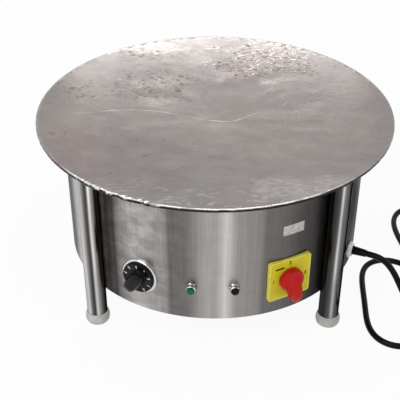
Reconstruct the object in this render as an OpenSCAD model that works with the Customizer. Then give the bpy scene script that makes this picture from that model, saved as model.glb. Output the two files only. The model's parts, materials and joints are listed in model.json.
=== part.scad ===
// Electric tawa griddle: a dished steel cooking plate on a round steel drum that stands on four tube legs.
// Millimetres. +Z is up, the floor is z = 0, and the controls face -Y.

/* [Cooking plate] */
// Outside diameter of the cooking plate
plate_d = 508; // [500:2:530]
// Thickness of the cooking plate
plate_t = 4; // [3:0.5:6]
// Depth of the dish at its middle
dish_depth = 14; // [8:1:18]
// Height of the rim above the floor
rim_h = 260; // [256:1:290]

/* [Drum] */
// How far the plate's rim stands out past the drum
plate_overhang = 37; // [34:1:41]
// Thickness of the drum's sheet
drum_wall = 1.2; // [1:0.1:1.8]
// Height of the drum's lower edge above the floor
drum_clear = 54; // [46:1:58]
// Width of the drum's inward top flange
top_flange_w = 24; // [23:0.5:28]
// Width of the drum's inward bottom flange
bottom_flange_w = 18; // [16:1:24]
// Gap left between pieces that are bolted or welded together
seat_gap = 0.1; // [0.05:0.05:0.2]
// Radial clearance of a screw or a stud in its hole
shank_clear = 0.1; // [0.05:0.05:0.3]
// Radial clearance of a turning shaft in its bore
run_clear = 0.05; // [0.02:0.01:0.1]

/* [Legs and feet] */
// Outside diameter of a leg tube
leg_d = 29; // [25:1:33]
// Wall of a leg tube
leg_wall = 2; // [1.6:0.1:3]
// Angle of the front legs from the middle of the front
leg_az = 46; // [42:1:50]
// Depth that a leg's inner side is cut to seat on the drum
leg_seat = 1; // [0.6:0.1:1.2]
// Diameter of a leg's fixing bolt
leg_bolt_d = 6; // [5:1:8]
// Height of the lower leg bolts above the floor
leg_bolt_low = 82; // [76:1:100]
// Height of the upper leg bolts above the floor
leg_bolt_high = 176; // [150:1:180]
// Outside diameter of a foot cap
foot_d = 34.6; // [34.4:0.2:40]
// Height of a foot cap
foot_h = 19; // [15:1:28]
// Thickness of a foot cap under the leg
foot_floor = 4; // [3:0.5:6]
// Radius of a foot cap's lower edge
foot_round = 3.5; // [1:0.5:4]

/* [Heating] */
// Diameter of the sheathed heating elements
element_d = 8.5; // [7:0.5:10]
// Radius of the inner element's ring
inner_ring_r = 75; // [65:1:85]
// Radius of the outer element's ring
outer_ring_r = 150; // [140:1:155]
// Angle left open between the ends of an element
element_gap = 14; // [12:1:20]
// Diameter of an element's terminal pin
pin_d = 6; // [5:0.5:6.5]
// Length of a terminal pin below the pan
pin_drop = 22; // [15:1:30]
// Width of the clamping spider's arms
spider_w = 18; // [14:1:24]
// Thickness of the clamping spider
spider_t = 3; // [2:0.5:4]
// Reach of the clamping spider's arms past the outer element
spider_past = 8; // [6:1:12]
// Diameter of the stud that holds the spider
spider_stud_d = 10; // [8:1:12]
// Width of the reflector pan's brim, from the drum's face
pan_brim_w = 31; // [31:1:36]
// Depth of the reflector pan
pan_depth = 50; // [48:1:56]
// Sheet thickness of the reflector pan
pan_t = 0.8; // [0.6:0.1:1]
// Thickness of the insulation board in the pan
board_t = 15; // [10:1:16]
// Diameter of the studs that hold the plate to the drum
plate_stud_d = 8; // [6:1:8]
// Number of studs that hold the plate to the drum
plate_stud_count = 4; // [3:1:6]

/* [Controls] */
// Height of the row of controls above the floor
control_h = 109; // [106:1:114]
// Angle of the thermostat from the middle of the front
knob_az = -27; // [-30:1:-24]
// Angle of the selector switch from the middle of the front
switch_az = 28; // [24:1:30]
// Angle of each indicator lamp from the middle of the front
lamp_az = 7.5; // [6:0.5:9]

/* [Thermostat] */
// Diameter of the bright ring behind the knob
bezel_d = 53; // [50:1:58]
// Thickness of the bright ring at its middle
bezel_t = 3; // [2.6:0.2:5]
// Bore of the bright ring
bezel_bore = 16; // [13:1:18]
// Distance between the two screws behind the knob
knob_screw_pitch = 28; // [26:1:32]
// Diameter of the small screws
screw_d = 4; // [3:0.5:4]
// Diameter of the small screws' heads
screw_head_d = 7; // [6:0.5:8]
// Height of the small screws' heads
screw_head_h = 1.8; // [1.4:0.2:1.8]
// Diameter of the knob's skirt
knob_d = 47; // [42:1:48]
// Height of the knob's skirt
knob_skirt_h = 4; // [3:0.5:7]
// Height of the knob's grip above its skirt
knob_grip_h = 15; // [10:1:18]
// Width of the knob's grip at its foot
knob_grip_w = 18; // [14:1:20]
// Gap between a turning piece and what is behind it
turn_gap = 0.6; // [0.4:0.1:1]
// Diameter of the thermostat's spindle
spindle_d = 6; // [5:0.5:8]
// Width of the thermostat's case
stat_w = 40; // [36:1:44]
// Depth of the thermostat's case
stat_depth = 30; // [26:1:40]
// Diameter of the sensing bulb
bulb_d = 6; // [5:0.5:7]
// Length of the sensing bulb
bulb_l = 70; // [60:2:72]
// Distance of the sensing bulb from the plate's middle
bulb_r = 112; // [108:1:116]
// Diameter of the capillary tube
capillary_d = 2.4; // [2:0.2:3]

/* [Selector switch] */
// Width of the square switch plate
switch_plate_w = 64; // [60:1:68]
// How far the switch plate's edge stands out of the drum
switch_plate_t = 3.6; // [3.2:0.1:5]
// Height of the switch plate's raised edge
switch_lip_h = 0.8; // [0.4:0.1:1]
// Width of the switch plate's raised edge
switch_lip_w = 2.6; // [1.5:0.1:4]
// Radius of the switch plate's corners
switch_corner = 3; // [2:0.5:6]
// Distance between the two screws behind the switch plate
switch_screw_pitch = 48; // [46:1:48]
// Width of the switch's cam stack
cam_w = 44; // [40:1:46]
// Thickness of one cam stage
cam_t = 11; // [9:0.5:12]
// Number of cam stages
cam_count = 4; // [2:1:4]
// Diameter of the switch shaft
shaft_d = 8; // [7:0.5:10]
// Diameter of the handle's hub
hub_d = 34; // [32:1:40]
// Height of the handle's hub
hub_h = 10; // [8:1:12]
// Height of the handle's grip above the switch plate
grip_h = 26; // [18:1:28]
// Width of the handle's grip at the hub
grip_w = 19; // [17:1:22]
// Width of the handle's grip at its tip
grip_tip_w = 13; // [11:1:16]
// Length of the handle from the shaft to its tip
grip_reach = 29; // [28:1:40]

/* [Indicator lamps] */
// Diameter of a lamp's bright ring
lamp_ring_d = 15.5; // [15:0.5:20]
// How far a lamp's bright ring stands out of the drum
lamp_ring_t = 6; // [4:0.5:7]
// Diameter of a lamp's lens
lens_d = 11.5; // [11:0.5:12]
// Height of a lamp's domed lens above its ring
lens_h = 4; // [3:0.5:5]
// Diameter of a lamp's barrel
barrel_d = 10; // [8:0.5:10]
// Length of a lamp's barrel behind the drum's face
barrel_l = 34; // [24:1:40]

/* [Base] */
// Sheet thickness of the base cover
cover_t = 1.2; // [1:0.1:2]
// Number of vent slots in the base cover
vent_count = 12; // [6:1:16]
// Length of a vent slot
vent_l = 44; // [30:1:50]
// Width of a vent slot
vent_w = 6; // [4:1:8]
// Distance of the vent slots from the middle
vent_in = 60; // [50:1:70]
// Number of base cover screws
cover_screw_count = 6; // [4:1:8]
// Length of a base cover screw under its head
cover_screw_l = 10; // [8:1:14]
// Width of the terminal block
block_w = 56; // [50:1:60]
// Length of the terminal block along its wires
block_l = 24; // [20:1:28]
// Height of the terminal block
block_h = 20; // [16:1:22]
// Distance of the terminal block from the drum's middle
block_r = 140; // [130:1:145]
// Distance of the earth stud from the drum's wall
earth_in = 66; // [60:1:70]
// Diameter of the inner wires
wire_d = 3.2; // [2.4:0.2:4]
// How far the inner wires bow out on their way
wire_bow = 22; // [20:1:24]

/* [Cable gland and cord] */
// Angle of the cable gland from the middle of the front
gland_az = 66; // [62:1:72]
// Height of the cable gland above the floor
gland_h = 78; // [76:1:86]
// Width across the flats of the gland's outside hexagon
gland_flats = 22; // [20:1:26]
// How far the gland stands out of the drum
gland_out = 6; // [5:0.5:10]
// Diameter of the gland's threaded barrel
gland_barrel_d = 16; // [15:0.5:18]
// Diameter of the mains cord
cord_d = 9; // [8:0.5:9]
// Length of the tapered sleeve outside the gland
sleeve_l = 20; // [20:1:30]
// Number of turns in each layer of the coil
coil_turns = 1.375; // [1.375:1:3.375]
// Length of plain cord between the coil and the plug
coil_tail = 48; // [46:1:60]
// Thickness of the coil's tie
tie_t = 1.4; // [1:0.2:2]
// Width of the coil's tie
tie_w = 12; // [8:1:16]
// Width of the plug
plug_w = 50; // [46:1:52]
// Length of the plug
plug_l = 54; // [50:1:60]
// Length of the plug's tapered sleeve
plug_sleeve_l = 22; // [20:1:26]
// Spacing of the plug's two current pins
plug_pitch = 25.4; // [25.4]
// Distance of the plug's earth pin from the line of its current pins
plug_earth = 28.6; // [28.6]

/* [Hidden] */
$fn = 64;
eps = 0.01;
dish_steps = 18;
plate_r = plate_d / 2;
drum_r = plate_r - plate_overhang;
inner_r = drum_r - drum_wall;
pan_r = drum_r - pan_brim_w;
flange_in_r = drum_r - top_flange_w;
stud_r = drum_r - top_flange_w / 2;

// Height of the plate's dished top and of its underside at a distance from the middle
function plate_top(r) = rim_h - dish_depth * (1 - pow(r / plate_r, 2));
function plate_under(r) = plate_top(r) - plate_t;
// A point at an angle from the front, a distance from the middle and a height
function around(az, r, z) = [r * sin(az), -r * cos(az), z];

drum_top = plate_under(flange_in_r) - seat_gap;
brim_top = drum_top - drum_wall - seat_gap;
pan_floor = drum_top - pan_depth;
board_low = pan_floor + pan_t + seat_gap;
leg_r = drum_r + leg_d / 2 - leg_seat;
leg_top = plate_under(leg_r - leg_d / 2) - seat_gap;
cover_low = drum_clear + drum_wall + seat_gap;
cover_high = cover_low + cover_t;
cover_screw_r = drum_r - bottom_flange_w / 2 - drum_wall / 2;
element_drop = element_d + 4 * seat_gap;
spider_r = outer_ring_r + spider_past;
pin_low = pan_floor - pin_drop;
pin_turn = 90 * pin_d / (PI * inner_ring_r);
element_az = 45;
knob_back = bezel_t + turn_gap;
knob_nose = -125;
bulb_az = knob_az - 4;
handle_back = switch_plate_t + turn_gap;
stat_front = drum_wall + 6;
switch_front = drum_wall + 5;
cam_depth = switch_front + cam_count * cam_t;
block_low = cover_high + seat_gap;
block_size = [block_w, block_l, block_h];
nut_h = 0.8;

// The cord: heights of its middle on the floor and in the coil's two layers
cord_r = cord_d / 2;
floor_z = cord_r + 0.1;
coil_pitch = cord_d + 0.6;
coil_out_r = 57;
coil_low = cord_r + tie_t + 0.5;
coil_rings = 24;
coil_total = 2 * coil_turns + 0.5;
sleeve_out = gland_out + sleeve_l;
lead_start = around(gland_az, drum_r + sleeve_out, gland_h);
coil_mid = [lead_start.x + 160, lead_start.y + 170];
plug_mid_z = coil_low + coil_pitch;
plug_in = [coil_mid.x + coil_out_r, coil_mid.y - coil_tail];
plug_low = 0.2;
plug_high = 2 * plug_mid_z - plug_low;

// The cord's way beside the drum to the coil: across the floor from the sleeve's tip, and its height
lead_way = [
    [18, -8.3, 77.6], [28.5, -14.4, 73.2], [39, -21.8, 61.5], [49, -30.4, 43], [59.5, -40.5, 22.5],
    [71, -53.5, 7.5], [83, -78, floor_z], [72, -107, floor_z], [41, -120, floor_z], [10, -106, floor_z],
    [-1, -74, floor_z], [2, -35, floor_z], [4, 5, floor_z], [6, 42, floor_z], [18, 71, floor_z],
    [47, 83, floor_z], [76, 71, floor_z], [97, 48, floor_z], [118, 34, floor_z], [144, 35, floor_z],
    [174, 22, floor_z], [186, -9, floor_z], [174, -40, floor_z], [143, -53, floor_z], [112, -41, floor_z],
    [98, -11, 5], [97, 22, 12.5], [94, 52, 17.5], [89, 82, 12], [84, 112, 5],
    [79, 144, floor_z], [76, 182, floor_z], [90, 216, floor_z], [122, 228, 5.6],
];

function unit(v) = v / norm(v);
function run_of(p, i = 0) = i >= len(p) - 1 ? 0 : norm(p[i + 1] - p[i]) + run_of(p, i + 1);
// A point of the smooth curve that a, b, c and d guide, from beside b to beside c
function guided(a, b, c, d, t) = (
    pow(1 - t, 3) * a + (3 * pow(t, 3) - 6 * t * t + 4) * b
        + (3 * t + 3 * t * t - 3 * pow(t, 3) + 1) * c + pow(t, 3) * d
) / 6;
// The smooth curve that a way's points guide, which starts and ends at its ends
function smooth_way(p, steps) = let (
    last = len(p) - 1,
    q = concat([2 * p[0] - p[1]], p, [2 * p[last] - p[last - 1]])
) [
    for (i = [0:last - 1]) for (k = [0:steps - 1])
        guided(q[i], q[i + 1], q[i + 2], q[i + 3], k / steps),
    p[last],
];

// The coil spirals in and out again, and climbs a layer in the half turn where it reverses
function coil_in(t) = coil_pitch * min(t, coil_total - t);
function coil_climb(t) = min(1, max(0, (t - coil_turns) / 0.5));
function coil_point(t) = let (r = coil_out_r - coil_in(t), a = 90 - 360 * t) [
    coil_mid.x + r * cos(a),
    coil_mid.y + r * sin(a),
    coil_low + coil_pitch * coil_climb(t),
];
coil_steps = round(coil_total * coil_rings);
coil_turns_way = [for (i = [0:coil_steps]) coil_point(i / coil_rings)];
coil_start = [coil_mid.x - cord_d, coil_mid.y + coil_out_r, coil_low];
coil_end = [plug_in.x, plug_in.y, plug_mid_z];
coil_way = concat(
    [coil_start, coil_start + [0.5 * cord_d, 0, 0]], coil_turns_way,
    [coil_end + [0, 2 * cord_d, 0], coil_end + [0, cord_d, 0], coil_end]
);
lead_route = concat(
    [lead_start, around(gland_az, drum_r + sleeve_out + cord_d, gland_h)],
    [for (p = lead_way) [lead_start.x + p.x, lead_start.y + p.y, p.z]],
    [coil_start - [cord_d, 0, 0], coil_start]
);
lead_curve = smooth_way(lead_route, 3);
inner_route = [
    around(gland_az, block_r + block_size.y / 2 + seat_gap, block_low + block_size.z / 2),
    around(gland_az, block_r + block_size.y / 2 + cord_d, block_low + block_size.z / 2),
    around(gland_az, (block_r + inner_r) / 2 + 8, (block_low + block_size.z / 2 + gland_h) / 2),
    around(gland_az, inner_r - 22, gland_h),
    around(gland_az, drum_r, gland_h),
    lead_start,
];
// The least gap between stretches of the coil that lie more than a third of a turn apart
coil_gap = min([
    for (i = [0:coil_steps]) for (j = [i + coil_rings / 3:coil_steps])
        norm(coil_turns_way[i] - coil_turns_way[j]) - cord_d
]);
echo(coil_gap = coil_gap);
echo(cord_length = run_of(lead_curve) + run_of(coil_way));

// Colours
plate_steel = [0.60, 0.57, 0.55];
stainless = [0.72, 0.72, 0.72];
bright = [0.82, 0.82, 0.84];
zinc = [0.62, 0.63, 0.64];
black = [0.07, 0.07, 0.07];
pale_grey = [0.80, 0.80, 0.78];
ceramic_white = [0.90, 0.88, 0.83];

// Shared shapes

// Puts a piece on the drum's face: x to the right, y up, z out of the drum
module on_drum(az, z) {
    rotate([0, 0, az]) translate([0, -drum_r, z]) rotate([90, 0, 0]) children();
}

// The drum's cylinder seen from a place on its face, larger or smaller by an amount
module drum_core(grow) {
    translate([0, 0, -drum_r]) rotate([90, 0, 0])
        cylinder(r = drum_r + grow, h = rim_h, center = true, $fn = 160);
}

// Copies a piece evenly round the middle
module each_around(count, from = 0) {
    for (i = [0:count - 1]) rotate([0, 0, from + 360 * i / count]) children();
}

// The four places of the legs
module each_leg() {
    for (az = [-leg_az, leg_az, 180 - leg_az, 180 + leg_az]) rotate([0, 0, az]) children();
}

// A hexagon bar, by the width across its flats
module hex_bar(flats, h) {
    cylinder(d = flats / cos(30), h = h, $fn = 6);
}

module rounded_square(w, r) {
    square([w - 2 * r, w], center = true);
    square([w, w - 2 * r], center = true);
    for (x = [-1, 1]) for (y = [-1, 1]) translate([x, y] * (w / 2 - r)) circle(r);
}

// A layer that follows the plate's dish, a drop below its top
module dish_layer(r, drop, t) {
    steps = [for (i = [0:dish_steps]) r * i / dish_steps];
    over = [for (x = steps) [x, plate_top(x) - drop]];
    under = [for (i = [dish_steps:-1:0]) [steps[i], plate_top(steps[i]) - drop - t]];
    rotate_extrude($fn = 160) polygon(concat(over, under));
}

// A round tube of triangles along a way that is never upright
module tube(way, d, sides) {
    last = len(way) - 1;
    along = [for (i = [0:last]) unit(way[min(i + 1, last)] - way[max(i - 1, 0)])];
    side = [for (v = along) unit(cross(v, [0, 0, 1]))];
    points = [
        for (i = [0:last]) for (j = [0:sides - 1]) let (a = 360 * j / sides)
            way[i] + d / 2 * (cos(a) * side[i] + sin(a) * cross(side[i], along[i]))
    ];
    walls = [
        for (i = [0:last - 1]) for (j = [0:sides - 1]) let (k = (j + 1) % sides, a = i * sides, b = a + sides)
            each [[a + j, b + k, a + k], [a + j, b + j, b + k]]
    ];
    ends = [
        for (j = [1:sides - 2]) each [
            [0, j, j + 1],
            [last * sides, last * sides + j + 1, last * sides + j],
        ]
    ];
    polyhedron(points, concat(walls, ends));
}

// A small pan-head screw that points inwards, by the height under its head and its length
module small_screw(under_head, l) {
    translate([0, 0, under_head]) cylinder(d = screw_head_d, h = screw_head_h, $fn = 32);
    translate([0, 0, under_head - l]) cylinder(d = screw_d, h = l + eps, $fn = 32);
}

// Plate, drum, legs and feet

module tawa_plate() {
    color(plate_steel) dish_layer(plate_r, 0, plate_t);
}

module drum_shell() {
    color(stainless) difference() {
        translate([0, 0, drum_clear]) cylinder(r = drum_r, h = drum_top - drum_clear, $fn = 160);
        translate([0, 0, drum_clear + drum_wall])
            cylinder(r = inner_r, h = drum_top - drum_clear - 2 * drum_wall, $fn = 160);
        translate([0, 0, drum_top - 2 * drum_wall]) cylinder(r = flange_in_r, h = 10, $fn = 160);
        translate([0, 0, drum_clear - 5]) cylinder(r = drum_r - bottom_flange_w, h = 10, $fn = 160);
        each_around(plate_stud_count) translate([0, -stud_r, drum_top - 5])
            cylinder(d = plate_stud_d + 2 * shank_clear, h = 10, $fn = 32);
        each_around(cover_screw_count, 15) translate([0, -cover_screw_r, drum_clear - 5])
            cylinder(d = screw_d + 2 * shank_clear, h = 10, $fn = 32);
        each_leg() for (z = [leg_bolt_low, leg_bolt_high]) translate([0, -drum_r, z]) rotate([90, 0, 0])
            cylinder(d = leg_bolt_d + 2 * shank_clear, h = 20, center = true, $fn = 32);
        on_drum(knob_az, control_h) {
            cylinder(d = bezel_bore - 4, h = 20, center = true);
            for (x = [-1, 1]) translate([x * knob_screw_pitch / 2, 0, 0])
                cylinder(d = screw_d + 2 * shank_clear, h = 20, center = true, $fn = 32);
        }
        on_drum(switch_az, control_h) {
            cylinder(d = shaft_d + 4, h = 20, center = true);
            for (x = [-1, 1]) translate([x * switch_screw_pitch / 2, 0, 0])
                cylinder(d = screw_d + 2 * shank_clear, h = 20, center = true, $fn = 32);
        }
        for (az = [-lamp_az, lamp_az]) on_drum(az, control_h)
            cylinder(d = barrel_d + 2 * shank_clear, h = 20, center = true);
        on_drum(gland_az, gland_h) cylinder(d = gland_barrel_d + 2 * shank_clear, h = 20, center = true);
    }
}

module leg(az) {
    color(bright) rotate([0, 0, az]) difference() {
        translate([0, -leg_r, foot_floor + seat_gap])
            cylinder(d = leg_d, h = leg_top - foot_floor - seat_gap);
        translate([0, -leg_r, 0]) cylinder(d = leg_d - 2 * leg_wall, h = rim_h);
        cylinder(r = drum_r + seat_gap, h = rim_h, $fn = 160);
        for (z = [leg_bolt_low, leg_bolt_high]) translate([0, -drum_r, z]) rotate([90, 0, 0])
            cylinder(d = leg_bolt_d + 2 * shank_clear, h = leg_d, center = true, $fn = 32);
    }
}

module foot(az) {
    color(pale_grey) rotate([0, 0, az]) translate([0, -leg_r, 0]) difference() {
        rotate_extrude() {
            translate([0, foot_round]) square([foot_d / 2, foot_h - foot_round]);
            square([foot_d / 2 - foot_round, foot_h]);
            translate([foot_d / 2 - foot_round, foot_round]) circle(foot_round, $fn = 32);
        }
        translate([0, 0, foot_floor]) cylinder(d = leg_d + 2 * shank_clear, h = foot_h);
    }
}

module leg_bolts() {
    shank = drum_wall + 2 * seat_gap + leg_wall + 5;
    head_h = leg_bolt_d * 0.65;
    color(zinc) each_leg() for (z = [leg_bolt_low, leg_bolt_high])
        translate([0, -inner_r + 0.5, z]) rotate([90, 0, 0]) {
            cylinder(d = leg_bolt_d, h = shank, $fn = 32);
            translate([0, 0, -head_h]) hex_bar(1.65 * leg_bolt_d, head_h + eps);
        }
}

module plate_studs() {
    high = plate_under(stud_r - plate_stud_d / 2) - seat_gap;
    low = brim_top - pan_t - plate_stud_d - 4;
    color(zinc) each_around(plate_stud_count) translate([0, -stud_r, low])
        cylinder(d = plate_stud_d, h = high - low, $fn = 32);
}

module plate_nuts() {
    h = nut_h * plate_stud_d;
    low = brim_top - pan_t - seat_gap - h;
    color(zinc) each_around(plate_stud_count) translate([0, -stud_r, low]) difference() {
        hex_bar(1.6 * plate_stud_d, h);
        translate([0, 0, -1]) cylinder(d = plate_stud_d + 2 * shank_clear, h = h + 2, $fn = 32);
    }
}

// Heating

// Where an element's two terminal pins hang, by its ring's radius
module each_pin(r) {
    turn = element_gap / 2 + 90 * pin_d / (PI * r) + 1;
    for (s = [-1, 1]) rotate([0, 0, element_az + s * turn]) translate([0, -r, 0]) children();
}

module element(r) {
    z = plate_under(r) - element_d / 2 - 2 * seat_gap;
    color(zinc) {
        translate([0, 0, z]) rotate([0, 0, element_az - 90 + element_gap / 2])
            rotate_extrude(angle = 360 - element_gap) translate([r, 0]) circle(d = element_d, $fn = 32);
        each_pin(r) translate([0, 0, pin_low]) cylinder(d = pin_d, h = z - pin_low, $fn = 32);
    }
}

// Holes for all terminal pins and for the capillary tube
module pan_holes() {
    for (r = [inner_ring_r, outer_ring_r]) each_pin(r)
        cylinder(d = pin_d + 0.6, h = rim_h, $fn = 32);
    translate(around(bulb_az, bulb_r, 0)) rotate([0, 0, bulb_az]) translate([bulb_l / 2 + 10, 0, 0])
        cylinder(d = capillary_d + 3, h = rim_h, $fn = 32);
}

module reflector_pan() {
    color(bright) difference() {
        union() {
            translate([0, 0, brim_top - pan_t]) cylinder(r = inner_r - 1, h = pan_t, $fn = 160);
            translate([0, 0, pan_floor]) cylinder(r = pan_r, h = brim_top - pan_floor - eps, $fn = 160);
        }
        translate([0, 0, pan_floor + pan_t]) cylinder(r = pan_r - pan_t, h = rim_h, $fn = 160);
        each_around(plate_stud_count) translate([0, -stud_r, brim_top - 10])
            cylinder(d = plate_stud_d + 2 * shank_clear, h = 20, $fn = 32);
        pan_holes();
    }
}

module insulation_board() {
    color(ceramic_white) difference() {
        translate([0, 0, board_low]) cylinder(r = pan_r - pan_t - 0.4, h = board_t, $fn = 160);
        pan_holes();
    }
}

module element_spider() {
    color(zinc) difference() {
        intersection() {
            dish_layer(spider_r, plate_t + element_drop, spider_t);
            union() {
                for (a = [0, 90]) rotate([0, 0, a])
                    translate([-plate_r, -spider_w / 2, 0]) cube([plate_d, spider_w, rim_h]);
            }
        }
        cylinder(d = spider_stud_d + 2 * shank_clear, h = rim_h, $fn = 32);
    }
}

spider_low = plate_top(0) - plate_t - element_drop - spider_t;

module spider_stud() {
    low = spider_low - nut_h * spider_stud_d - 1;
    color(zinc) translate([0, 0, low])
        cylinder(d = spider_stud_d, h = plate_under(0) - seat_gap - low, $fn = 32);
}

module spider_nut() {
    h = nut_h * spider_stud_d;
    color(zinc) translate([0, 0, spider_low - seat_gap - h]) difference() {
        hex_bar(1.6 * spider_stud_d, h);
        translate([0, 0, -1]) cylinder(d = spider_stud_d + 2 * shank_clear, h = h + 2, $fn = 32);
    }
}

// Thermostat

module thermostat_bezel() {
    sag = drum_r - sqrt(drum_r * drum_r - bezel_d * bezel_d / 4);
    slope = bezel_t / 3;
    color(bright) on_drum(knob_az, control_h) difference() {
        union() {
            translate([0, 0, -2 * sag]) cylinder(d = bezel_d, h = 2 * sag + bezel_t - slope);
            translate([0, 0, bezel_t - slope]) cylinder(d1 = bezel_d, d2 = bezel_d - 2 * slope, h = slope);
        }
        drum_core(seat_gap);
        cylinder(d = bezel_bore, h = 30, center = true);
        for (x = [-1, 1]) translate([x * knob_screw_pitch / 2, 0, 0]) {
            cylinder(d = screw_d + 2 * shank_clear, h = 30, center = true, $fn = 32);
            translate([0, 0, bezel_t - screw_head_h - 0.1]) cylinder(d = screw_head_d + 0.4, h = 9, $fn = 32);
        }
    }
}

module thermostat_screws() {
    color(zinc) on_drum(knob_az, control_h) for (x = [-1, 1]) translate([x * knob_screw_pitch / 2, 0, 0])
        small_screw(bezel_t - screw_head_h, bezel_t + stat_front - screw_head_h + 2);
}

module thermostat_body() {
    color(ceramic_white) on_drum(knob_az, control_h) difference() {
        intersection() {
            union() {
                translate([0, 0, -stat_front]) linear_extrude(stat_front)
                    rounded_square(knob_screw_pitch + 12, 5);
                translate([0, 0, -stat_front - stat_depth]) linear_extrude(stat_depth + eps)
                    rounded_square(stat_w, 3);
            }
            drum_core(-drum_wall - seat_gap);
        }
        cylinder(d = spindle_d + 2 * run_clear, h = 2 * stat_front + 20, center = true, $fn = 48);
        for (x = [-1, 1]) translate([x * knob_screw_pitch / 2, 0, 0])
            cylinder(d = screw_d + 2 * shank_clear, h = 2 * stat_front + 8, center = true, $fn = 32);
    }
}

module thermostat_spindle() {
    low = -stat_front - 9;
    high = knob_back + knob_skirt_h + knob_grip_h / 2;
    color(zinc) on_drum(knob_az, control_h) translate([0, 0, low])
        cylinder(d = spindle_d, h = high - low, $fn = 48);
}

// A bar with a rounded nose, by its length and width
module nose_bar(l, w, h) {
    linear_extrude(h) {
        translate([-l / 2, -w / 2]) square([l - w / 2, w]);
        translate([l / 2 - w / 2, 0]) circle(d = w, $fn = 32);
    }
}

module thermostat_knob() {
    grip_l = knob_d - 10;
    slope = knob_skirt_h / 2;
    grip_top = knob_skirt_h + knob_grip_h;
    half_w = knob_grip_w / 2;
    flanks = [[-half_w, 0], [half_w, 0], [half_w, knob_skirt_h], [half_w - 2, grip_top],
        [2 - half_w, grip_top], [-half_w, knob_skirt_h]];
    color(black) on_drum(knob_az, control_h) translate([0, 0, knob_back]) difference() {
        union() {
            cylinder(d = knob_d, h = knob_skirt_h - slope);
            translate([0, 0, knob_skirt_h - slope]) cylinder(d1 = knob_d, d2 = knob_d - 3, h = slope);
            rotate([0, 0, knob_nose]) intersection() {
                translate([0, 0, 1]) nose_bar(grip_l, knob_grip_w + 1, grip_top - 1);
                rotate([90, 0, 90]) linear_extrude(2 * knob_d, center = true) polygon(flanks);
            }
        }
        translate([0, 0, -1])
            cylinder(d = spindle_d + 2 * run_clear, h = knob_skirt_h + knob_grip_h / 2 + 1.2, $fn = 48);
    }
}

// The bulb lies across the plate's radius, against the plate's underside
bulb_z = plate_under(bulb_r) - bulb_d / 2 - 0.4;

module at_bulb() {
    translate(around(bulb_az, bulb_r, bulb_z)) rotate([0, 0, bulb_az]) rotate([0, 90, 0]) children();
}

module thermostat_bulb() {
    color([0.72, 0.45, 0.20]) at_bulb() cylinder(d = bulb_d, h = bulb_l, center = true, $fn = 32);
}

module bulb_clip() {
    up = plate_under(bulb_r - bulb_d) - seat_gap - bulb_z;
    color(zinc) at_bulb() difference() {
        translate([-up, -bulb_d / 2 - 2, -8]) cube([up + bulb_d / 2 + 1.6, bulb_d + 4, 16]);
        cylinder(d = bulb_d + 2 * shank_clear, h = 40, center = true, $fn = 32);
    }
}

// A point beside the bulb: along it, and a height
function by_bulb(x, z) = around(bulb_az, bulb_r, z) + x * [cos(bulb_az), sin(bulb_az), 0];

module capillary_tube() {
    end = around(knob_az, drum_r - stat_front - stat_depth, control_h + stat_w / 4);
    way = [
        by_bulb(bulb_l / 2 + seat_gap, bulb_z), by_bulb(bulb_l / 2 + 5, bulb_z),
        by_bulb(bulb_l / 2 + 9, bulb_z - 4), by_bulb(bulb_l / 2 + 10.5, (bulb_z + pan_floor) / 2),
        by_bulb(bulb_l / 2 + 10, pan_floor - 4), by_bulb(bulb_l / 2, pan_floor - 30),
        around(knob_az, bulb_r + 10, end.z + 18), end + [-16 * sin(knob_az), 16 * cos(knob_az), 2] * 0.9,
        end + [-4 * sin(knob_az), 4 * cos(knob_az), 0],
        end + [-seat_gap * sin(knob_az), seat_gap * cos(knob_az), 0],
    ];
    color([0.72, 0.45, 0.20]) tube(way, capillary_d, 6);
}

// Selector switch

module switch_plate() {
    color([0.85, 0.77, 0.14]) on_drum(switch_az, control_h) difference() {
        translate([0, 0, -8]) linear_extrude(8 + switch_plate_t)
            rounded_square(switch_plate_w, switch_corner);
        drum_core(seat_gap);
        translate([0, 0, switch_plate_t - switch_lip_h]) linear_extrude(9)
            rounded_square(switch_plate_w - 2 * switch_lip_w, switch_corner - 1);
        cylinder(d = shaft_d + 1, h = 30, center = true);
        for (x = [-1, 1]) translate([x * switch_screw_pitch / 2, 0, -8])
            cylinder(d = screw_head_d + 0.6, h = 8 + switch_head_z + screw_head_h + 0.1, $fn = 32);
    }
}

// The heads of the switch screws seat on the drum's curve, behind the plate
switch_head_in = switch_screw_pitch / 2 - screw_head_d / 2;
switch_head_z = sqrt(drum_r * drum_r - switch_head_in * switch_head_in) - drum_r + seat_gap;

module switch_screws() {
    color(zinc) on_drum(switch_az, control_h) for (x = [-1, 1]) translate([x * switch_screw_pitch / 2, 0, 0])
        small_screw(switch_head_z, switch_front + 4);
}

module switch_body() {
    color(black) on_drum(switch_az, control_h) difference() {
        intersection() {
            union() {
                translate([0, 0, -switch_front]) linear_extrude(switch_front)
                    rounded_square(switch_screw_pitch + screw_d + 6, 4);
                translate([0, 0, -cam_depth]) linear_extrude(cam_depth - switch_front + eps)
                    rounded_square(cam_w - 3, 3);
                for (i = [0:cam_count - 1]) translate([0, 0, -switch_front - (i + 1) * cam_t])
                    linear_extrude(cam_t - 1.5) rounded_square(cam_w, 4);
            }
            drum_core(-drum_wall - seat_gap);
        }
        cylinder(d = shaft_d + 2 * run_clear, h = 2 * cam_depth - 4, center = true, $fn = 48);
        for (x = [-1, 1]) translate([x * switch_screw_pitch / 2, 0, 0])
            cylinder(d = screw_d + 2 * shank_clear, h = 2 * switch_front + 4, center = true, $fn = 32);
    }
}

module switch_shaft() {
    low = -cam_depth + 4;
    high = handle_back + hub_h;
    color(zinc) on_drum(switch_az, control_h) translate([0, 0, low])
        cylinder(d = shaft_d, h = high - low, $fn = 48);
}

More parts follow.
